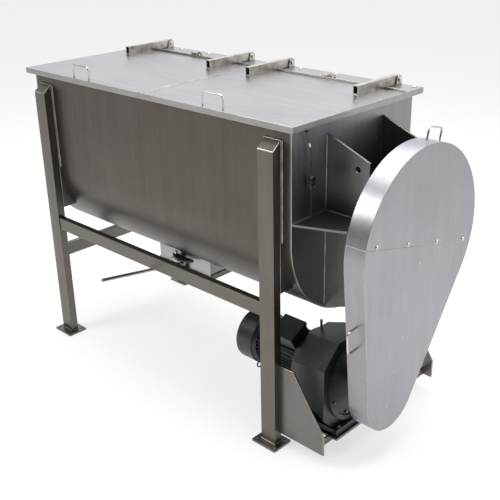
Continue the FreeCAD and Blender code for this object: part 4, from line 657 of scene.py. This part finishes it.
# %% The four handles
COVER_GRIP_SPAN = 0.110
GUARD_GRIP_SPAN = 0.090
GUARD_GRIP_X = 1075
for side in ("left", "right"):
    low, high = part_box("cover_%s_handle" % side)
    middle = (low + high) / 2
    foot = Vector((middle.x, middle.y, low.z + 0.0005))
    grip = handle("cover_%s_grip" % side, foot, Vector((1, 0, 0)), Vector((0, 0, 1)),
                  COVER_GRIP_SPAN, high.z - foot.z - WIRE_RADIUS)
    stand_for(grip, "cover_%s_lid" % side, "cover_%s_handle" % side)
lean = math.radians(14.5)
side_lean = math.radians(-5.0)
top_grip = handle("top_grip", at(GUARD_GRIP_X, 90.4, 1240.5),
                  Vector((0, math.cos(lean), -math.sin(lean))),
                  Vector((0, math.sin(lean), math.cos(lean))), GUARD_GRIP_SPAN, 0.052)
side_grip = handle("side_grip", at(GUARD_GRIP_X, -337.6, 600),
                   Vector((0, math.sin(side_lean), math.cos(side_lean))),
                   Vector((0, -math.cos(side_lean), math.sin(side_lean))), GUARD_GRIP_SPAN, 0.049)
stand_for(joined("guard_grips", top_grip, side_grip), "guard_cover", "guard_handles")
print("handles: 4")

# %% [markdown]
# ## Screws
# The strip is held by domed screws and the guard by button heads on washers.  Each head is modelled once and
# copied to where the solid has its own.

# %% Functions that find lumps and copy heads


def lumps(node):
    """The lowest and highest corner of each separate lump of a solid, in metres."""
    only(frame["nodes"][node])
    mesh = frame["nodes"][node].data
    near = {}
    owner = list(range(len(mesh.vertices)))

    def root(index):
        while owner[index] != index:
            index = owner[index]
        return index

    for vertex in mesh.vertices:
        key = tuple(round(c, 5) for c in vertex.co)
        owner[vertex.index] = near.setdefault(key, vertex.index)
    for edge in mesh.edges:
        a, b = root(edge.vertices[0]), root(edge.vertices[1])
        owner[max(a, b)] = min(a, b)
    boxes = {}
    for vertex in mesh.vertices:
        box = boxes.setdefault(root(vertex.index), [vertex.co.copy(), vertex.co.copy()])
        box[0] = Vector(map(min, box[0], vertex.co))
        box[1] = Vector(map(max, box[1], vertex.co))
    return list(boxes.values())


def button_head(name, radius, height, finish, washer=1.25):
    """A domed head on a thin washer, standing on the origin along Z."""
    bpy.ops.mesh.primitive_uv_sphere_add(segments=16, ring_count=10, radius=radius)
    head = bpy.context.object
    bpy.ops.object.mode_set(mode="EDIT")
    bpy.ops.mesh.select_all(action="SELECT")
    bpy.ops.mesh.bisect(plane_co=(0, 0, 0), plane_no=(0, 0, 1), clear_inner=True, use_fill=True)
    bpy.ops.object.mode_set(mode="OBJECT")
    head.data.transform(Matrix.Diagonal((1, 1, height * 0.75 / radius, 1)))
    head.data.transform(Matrix.Translation((0, 0, height * 0.24)))
    ring = rod(24, radius * washer, height * 0.25, (0, 0, height * 0.125))
    whole = joined(name, head, ring)
    whole.data.materials.append(finish)
    smooth(whole, 40)
    return whole


def copies(name, model, places):
    """The model copied to many places, given as matrices, as one object."""
    made = []
    for place in places:
        copy = bpy.data.objects.new(name, model.data.copy())
        copy.data.transform(place)
        bpy.context.collection.objects.link(copy)
        made.append(copy)
    bpy.data.objects.remove(model)
    return joined(name, *made)


# %% [markdown]
# The covers' strip has its screws on top.  The guard's heads face out of it, and its rivets are the low ones.

# %% Put the screws in
TO_X = Matrix.Rotation(math.radians(90), 4, "Y")
RIVET_HEIGHT = 0.004
places = []
for low, high in lumps("strip_bolts"):
    places.append(Matrix.Translation(((low.x + high.x) / 2, (low.y + high.y) / 2, low.z)))
screw = button_head("screw", 0.0085, 0.006, polished, 1.06)
stand_for(copies("strip_screws", screw, places), "machine", "strip_bolts")
buttons, rivets = [], []
for low, high in lumps("guard_fasteners"):
    place = Matrix.Translation((low.x, (low.y + high.y) / 2, (low.z + high.z) / 2)) @ TO_X
    (buttons if high.x - low.x > RIVET_HEIGHT else rivets).append(place)
big = copies("guard_buttons", button_head("button", 0.0070, 0.005, polished, 1.3), buttons)
small = copies("guard_rivets", button_head("rivet", 0.0032, 0.002, polished, 1.1), rivets)
stand_for(joined("guard_screws", big, small), "guard_cover", "guard_fasteners")
print("screws:", len(places) + len(buttons) + len(rivets))

# %% [markdown]
# ## Welds
# The gussets, shelves, leg pads and feet are welded on, and the beads are brushed over.  A bead is a thin
# round bar laid in the corner, a little uneven, which catches a line of light.

# %% Weld beads
BEAD_RADIUS = 0.0026
END_FACE = 796
GUSSET_SIDES = (165.0, 175.0)
GUSSET_FOOT, GUSSET_TOP = 585, 1268
SHELF_REACH, SHELF_NOSE, SHELF_UNDER = 370, 980, 979
PAD_EDGES = (667.5, 751.5)
PAD_FACE, PAD_FOOT, PAD_TOP = 371, 893, 1284
FOOT_EDGES = (671.5, 747.5)
FOOT_ENDS = (416, 378)
FOOT_TOP = 11


def bead(start, end):
    """One straight bead between two places in millimetres."""
    first, last = at(*start), at(*end)
    bar = rod(8, BEAD_RADIUS, (last - first).length)
    bar.data.transform(Matrix.Translation((first + last) / 2)
                       @ (last - first).to_track_quat("Z", "Y").to_matrix().to_4x4())
    return bar


beads = []
for side in (-1, 1):
    for y in GUSSET_SIDES:
        beads.append(bead((END_FACE, side * y, GUSSET_FOOT), (END_FACE, side * y, GUSSET_TOP)))
    root = (END_FACE, side * GUSSET_SIDES[1], SHELF_UNDER)
    beads.append(bead((END_FACE, side * SHELF_REACH, SHELF_UNDER), root))
    beads.append(bead(root, (SHELF_NOSE, side * GUSSET_SIDES[1], SHELF_UNDER)))
    outer, inner = (side * y for y in FOOT_ENDS)
    for end in (-1, 1):
        for x in PAD_EDGES:
            beads.append(bead((end * x, side * PAD_FACE, PAD_FOOT), (end * x, side * PAD_FACE, PAD_TOP)))
        for x in FOOT_EDGES:
            beads.append(bead((end * x, outer, FOOT_TOP), (end * x, inner, FOOT_TOP)))
        for y in (outer, inner):
            beads.append(bead((end * FOOT_EDGES[0], y, FOOT_TOP), (end * FOOT_EDGES[1], y, FOOT_TOP)))
whole = joined("weld_beads", *beads)
whole.data.materials.append(weld)
smooth(whole, 60)
stand_for(whole, "machine")
print("beads:", len(beads))

# %% [markdown]
# ## The gearmotor
# The motor's barrel is cast aluminium with cooling fins between two end bells, a flange bolted to the
# gearbox, and a pressed cover over the fan.  The barrel is a cylinder, the fins are thin bars turned about
# it, and the bolts are six-sided.

# %% Round and square blocks along the motor's axis
MOTOR = MOTOR_Y, MOTOR_Z = -153.614, 297.017


def drum(name, x0, x1, radius, sides=48, z=MOTOR_Z):
    """A round block along X, from x0 to x1, in millimetres."""
    block = rod(sides, radius / 1000, (x1 - x0) / 1000, at((x0 + x1) / 2, MOTOR_Y, z), ALONG_X)
    block.name = name
    return block


def slab(name, x, y, z):
    """A square block between two values on each axis, in millimetres."""
    middle = at((x[0] + x[1]) / 2, (y[0] + y[1]) / 2, (z[0] + z[1]) / 2)
    bpy.ops.mesh.primitive_cube_add(size=1, location=middle)
    block = bpy.context.object
    block.scale = ((x[1] - x[0]) / 1000, (y[1] - y[0]) / 1000, (z[1] - z[0]) / 1000)
    bpy.ops.object.transform_apply(location=True, rotation=True, scale=True)
    block.name = name
    return block


def about_motor(block, degrees):
    """Turns a block about the motor's axis."""
    centre = Matrix.Translation(at(0, *MOTOR))
    block.data.transform(centre @ Matrix.Rotation(math.radians(degrees), 4, "X") @ centre.inverted())
    return block


def drawn_in(block, x, factor, reach=0.5):
    """Narrows a round block's rim at x by a factor, about the motor's axis."""
    centre = at(x, *MOTOR)
    for vertex in block.data.vertices:
        if abs(vertex.co.x - centre.x) < reach / 1000:
            vertex.co.y = centre.y + (vertex.co.y - centre.y) * factor
            vertex.co.z = centre.z + (vertex.co.z - centre.z) * factor


# %% [markdown]
# The turned shapes come first: where each starts and ends along X, its radius, and a rim that is drawn in.

# %% Barrel, bells and fins
TURNED = (
    ("barrel", 475, 722, 92, None), ("rear_bell", 475, 492, 111, (492, 0.90)),
    ("front_bell", 694, 722, 104, (694, 0.90)), ("flange", 722, 742, 139, (722, 0.97)),
)
FINS = 40
FIN_HALF_WIDTH = 1.7
FIN_TIP_SHARE = 0.6
RIB_HALF_WIDTH = 7
FLANGE_BOLTS = 8
metal = []
for name, x0, x1, radius, rim in TURNED:
    block = drum(name, x0, x1, radius)
    if rim:
        drawn_in(block, *rim)
    metal.append(block)
for index in range(FINS):
    fin = slab("fin", (490, 698), (MOTOR_Y - FIN_HALF_WIDTH, MOTOR_Y + FIN_HALF_WIDTH),
               (MOTOR_Z + 88, MOTOR_Z + 103))
    axis_y = at(0, *MOTOR).y
    top = max(v.co.z for v in fin.data.vertices)
    for vertex in fin.data.vertices:
        if vertex.co.z > top - 0.001:
            vertex.co.y = axis_y + (vertex.co.y - axis_y) * FIN_TIP_SHARE
    metal.append(about_motor(fin, 360 * (index + 0.5) / FINS))
for index in range(4):
    rib = slab("rib", (700, 724), (MOTOR_Y - RIB_HALF_WIDTH, MOTOR_Y + RIB_HALF_WIDTH),
               (MOTOR_Z + 92, MOTOR_Z + 130))
    low_x = min(v.co.x for v in rib.data.vertices)
    for vertex in rib.data.vertices:
        if vertex.co.x < low_x + 0.001:
            vertex.co.z = min(vertex.co.z, at(0, 0, MOTOR_Z + 100).z)
    metal.append(about_motor(rib, 45 + 90 * index))
for index in range(FLANGE_BOLTS):
    bolt = drum("bolt", 712, 722, 8.5, sides=6, z=MOTOR_Z + 124)
    metal.append(about_motor(bolt, 360 * (index + 0.5) / FLANGE_BOLTS))
print("fins:", FINS, "bolts:", FLANGE_BOLTS)

# %% [markdown]
# The terminal box sits on a raised seat, and the lifting eye stands on a short stem.

# %% Seat and lifting eye
SEAT_LEAN = 28
EYE_LEAN = -40
EYE_X = 491
seat = slab("seat", (607, 713), (MOTOR_Y - 46, MOTOR_Y + 46), (MOTOR_Z + 70, MOTOR_Z + 105))
metal.append(about_motor(seat, SEAT_LEAN))
bpy.ops.mesh.primitive_torus_add(major_segments=28, minor_segments=10, major_radius=0.0105,
                                 minor_radius=0.0034, location=at(EYE_X, MOTOR_Y, MOTOR_Z - 121),
                                 rotation=(math.radians(90), 0, 0))
bpy.ops.object.transform_apply(location=True, rotation=True, scale=True)
metal.append(about_motor(bpy.context.object, EYE_LEAN))
stem = slab("stem", (EYE_X - 5, EYE_X + 5), (MOTOR_Y - 5, MOTOR_Y + 5), (MOTOR_Z - 112, MOTOR_Z - 88))
metal.append(about_motor(stem, EYE_LEAN))
motor = joined("motor_casting", *metal)
motor.data.materials.append(enamel)
rounded(motor, 0.8, 2)
stand_for(motor, "machine", "motor_frame")
print("motor faces:", len(motor.data.polygons))

# %% [markdown]
# The fan cover is pressed sheet with a rounded rear edge.  The blank is open at the front, and its wall goes
# inwards.

# %% Fan cover
COVER_FRONT = 475
SHEET = 0.002
shell = drum("fan_cover", 380, COVER_FRONT, 114.8, 64)
only(shell)
bpy.ops.object.mode_set(mode="EDIT")
bpy.ops.mesh.select_all(action="DESELECT")
bpy.ops.object.mode_set(mode="OBJECT")
front_x = at(COVER_FRONT, 0, 0).x
for face in shell.data.polygons:
    face.select = face.center.x > front_x - 0.001
bpy.ops.object.mode_set(mode="EDIT")
bpy.ops.mesh.delete(type="FACE")
bpy.ops.object.mode_set(mode="OBJECT")
edge = shell.modifiers.new("rear_edge", "BEVEL")
edge.width = 0.016
edge.segments = 5
edge.limit_method = "ANGLE"
wall = shell.modifiers.new("wall", "SOLIDIFY")
wall.thickness = SHEET
wall.offset = -1
apply_all(shell)
print("fan cover blank:", len(shell.data.polygons), "faces")

# %% [markdown]
# The fan draws its air through three rings of slots: the radius, the number and the length of each.

# %% Slots in the fan cover
SLOT_RINGS = ((38, 12, 20), (66, 18, 22), (91, 24, 14))
SLOT_HALF_WIDTH = 3
cutters = []
for radius, count, length in SLOT_RINGS:
    for index in range(count):
        slot = slab("slot", (372, 392), (MOTOR_Y - SLOT_HALF_WIDTH, MOTOR_Y + SLOT_HALF_WIDTH),
                    (MOTOR_Z + radius - length / 2, MOTOR_Z + radius + length / 2))
        cutters.append(about_motor(slot, 360 * index / count))
cutter = joined("slots", *cutters)
holes = shell.modifiers.new("slots", "BOOLEAN")
holes.object = cutter
holes.operation = "DIFFERENCE"
holes.solver = "EXACT"
apply_all(shell)
bpy.data.objects.remove(cutter)
shell.data.materials.clear()
shell.data.materials.append(enamel)
smooth(shell)
stand_for(shell, "machine", "motor_fan_cover")
print("fan cover faces:", len(shell.data.polygons))

# %% [markdown]
# The gearbox's bolts are six-sided steel heads on washers.  Its breather is the one tall lump, on top.

# %% Gearbox bolts
BREATHER_HEIGHT = 0.03
HEAD_ON_WASHER = ((6, 0.92, 0.25, 1.0), (20, 1.0, 0.0, 0.25))
bolts = []
for low, high in lumps("gearbox_fasteners"):
    size = high - low
    middle = (low + high) / 2
    if size.z > BREATHER_HEIGHT:
        bolts.append(rod(16, 0.005, size.z, middle))
        bolts.append(rod(6, 0.0062, 0.010, (middle.x, middle.y, high.z - 0.006)))
        continue
    across = sorted(size)[1] / 2
    sideways = size.x < size.z
    height = size.x if sideways else size.z
    for sides, radius, start, end in HEAD_ON_WASHER:
        shift = height * (start + end) / 2
        place = (low.x + shift, middle.y, middle.z) if sideways else (middle.x, middle.y, low.z + shift)
        bolts.append(rod(sides, across * radius, height * (end - start), place,
                         ALONG_X if sideways else (0, 0, 0)))
heads = joined("gearbox_bolts", *bolts)
heads.data.materials.append(turned_steel)
rounded(heads, 0.4, 2)
stand_for(heads, "machine", "gearbox_fasteners")
print("gearbox heads:", len(bolts))

# %% [markdown]
# ## The agitator's ribbons
# A ribbon is a flat bar wound one turn in each half of the trough.  Its section is a small rectangle, and the
# Screw modifier carries it along the shaft as it turns.

# %% Wind the ribbons
shaft_low, shaft_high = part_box("agitator_shaft")
SHAFT = ((shaft_low.y + shaft_high.y) / 2, (shaft_low.z + shaft_high.z) / 2)
THICK = 0.008
STEPS_A_TURN = 90


def wound(node, hand):
    """Both starts of a ribbon in both halves of the trough; hand is 1 or -1."""
    low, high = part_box(node)
    outer = (high.z - low.z) / 2
    reach = [math.hypot(v.co.y - SHAFT[0], v.co.z - SHAFT[1]) for v in frame["nodes"][node].data.vertices]
    inner = min(reach)
    travel = (high.x - low.x) / 2 - THICK
    blades = []
    for side in (-1, 1):
        for start in (1, -1):
            bpy.ops.mesh.primitive_plane_add(size=1)
            blade = bpy.context.object
            corners = ((0, inner), (THICK, inner), (THICK, outer), (0, outer))
            order = sorted(blade.data.vertices, key=lambda v: math.atan2(v.co.y, v.co.x))
            for vertex, (x, r) in zip(order, corners):
                vertex.co = (side * x, 0, start * r)
            screw = blade.modifiers.new("wound", "SCREW")
            screw.axis = "X"
            screw.angle = hand * math.radians(360)
            screw.screw_offset = side * travel
            screw.steps = screw.render_steps = STEPS_A_TURN
            screw.use_merge_vertices = False
            apply_all(blade)
            only(blade)
            bpy.ops.object.mode_set(mode="EDIT")
            bpy.ops.mesh.select_all(action="SELECT")
            bpy.ops.mesh.remove_doubles(threshold=0.00001)
            bpy.ops.mesh.fill_holes(sides=4)
            bpy.ops.mesh.normals_make_consistent(inside=False)
            bpy.ops.object.mode_set(mode="OBJECT")
            blade.data.transform(Matrix.Translation((MIDDLE.x, *SHAFT)))
            blades.append(blade)
    ribbon = joined(node + "_wound", *blades)
    ribbon.data.materials.clear()
    ribbon.data.materials.append(wet)
    smooth(ribbon)
    print(node, "inner and outer edge:", round(inner, 4), round(outer, 4))
    stand_for(ribbon, "agitator", node)


wound("outer_ribbons", 1)
wound("inner_ribbons", -1)

# %% [markdown]
# The spokes are round bars through the shaft, some upright and some level.

# %% Turn the spokes
SPOKE_RADIUS = 0.0155
spokes = []
for low, high in lumps("ribbon_spokes"):
    middle, size = (low + high) / 2, high - low
    upright = size.z > size.y
    spokes.append(rod(24, SPOKE_RADIUS, max(size.y, size.z), middle,
                      (0 if upright else math.radians(90), 0, 0)))
arms = joined("spokes_turned", *spokes)
arms.data.materials.append(wet)
rounded(arms, 1.0, 2)
stand_for(arms, "agitator", "ribbon_spokes")
print("spokes:", len(spokes))

# %% [markdown]
# ## The roller chain
# A link's plate is a thin round blank stretched by one pitch, a roller is a short tube, and the rollers of
# the model say where each link lies.  They are sorted by their direction from the loop's middle.

# %% Lay the chain
ROLLER_LENGTH, ROLLER_RADIUS = 0.019, 0.0094
PLATE_THICKNESS, PLATE_RADIUS = 0.0036, 0.0138
INNER_PLATE, OUTER_PLATE = 0.0115, 0.0155
PIN_LENGTH, PIN_RADIUS, PIN_REACH = 0.0035, 0.005, 0.0158
rollers = []
for low, high in lumps("roller_chain"):
    if abs(high.x - low.x - ROLLER_LENGTH) < 0.001:
        rollers.append((low + high) / 2)
loop = sum(rollers, Vector()) / len(rollers)
rollers.sort(key=lambda place: math.atan2(place.z - loop.z, place.y - loop.y))
links = []
for index, here in enumerate(rollers):
    there = rollers[(index + 1) % len(rollers)]
    turn = Matrix.Rotation(math.atan2(there.z - here.z, there.y - here.y), 4, "X")
    outside = index % 2 == 0
    links.append(rod(12, ROLLER_RADIUS, ROLLER_LENGTH, here, ALONG_X))
    for side in (-1, 1):
        plate = rod(12, PLATE_RADIUS, PLATE_THICKNESS, turn=ALONG_X)
        for vertex in plate.data.vertices:
            if vertex.co.y > 0:
                vertex.co.y += (there - here).length
        off = Matrix.Translation((side * (OUTER_PLATE if outside else INNER_PLATE), 0, 0))
        plate.data.transform(Matrix.Translation(here) @ turn @ off)
        links.append(plate)
        if outside:
            for pin in (here, there):
                links.append(rod(8, PIN_RADIUS, PIN_LENGTH, (pin.x + side * PIN_REACH, pin.y, pin.z),
                                 ALONG_X))
chain = joined("chain_links", *links)
chain.data.materials.append(oiled)
smooth(chain)
stand_for(chain, "machine", "roller_chain")
print("rollers:", len(rollers), "faces:", len(chain.data.polygons))
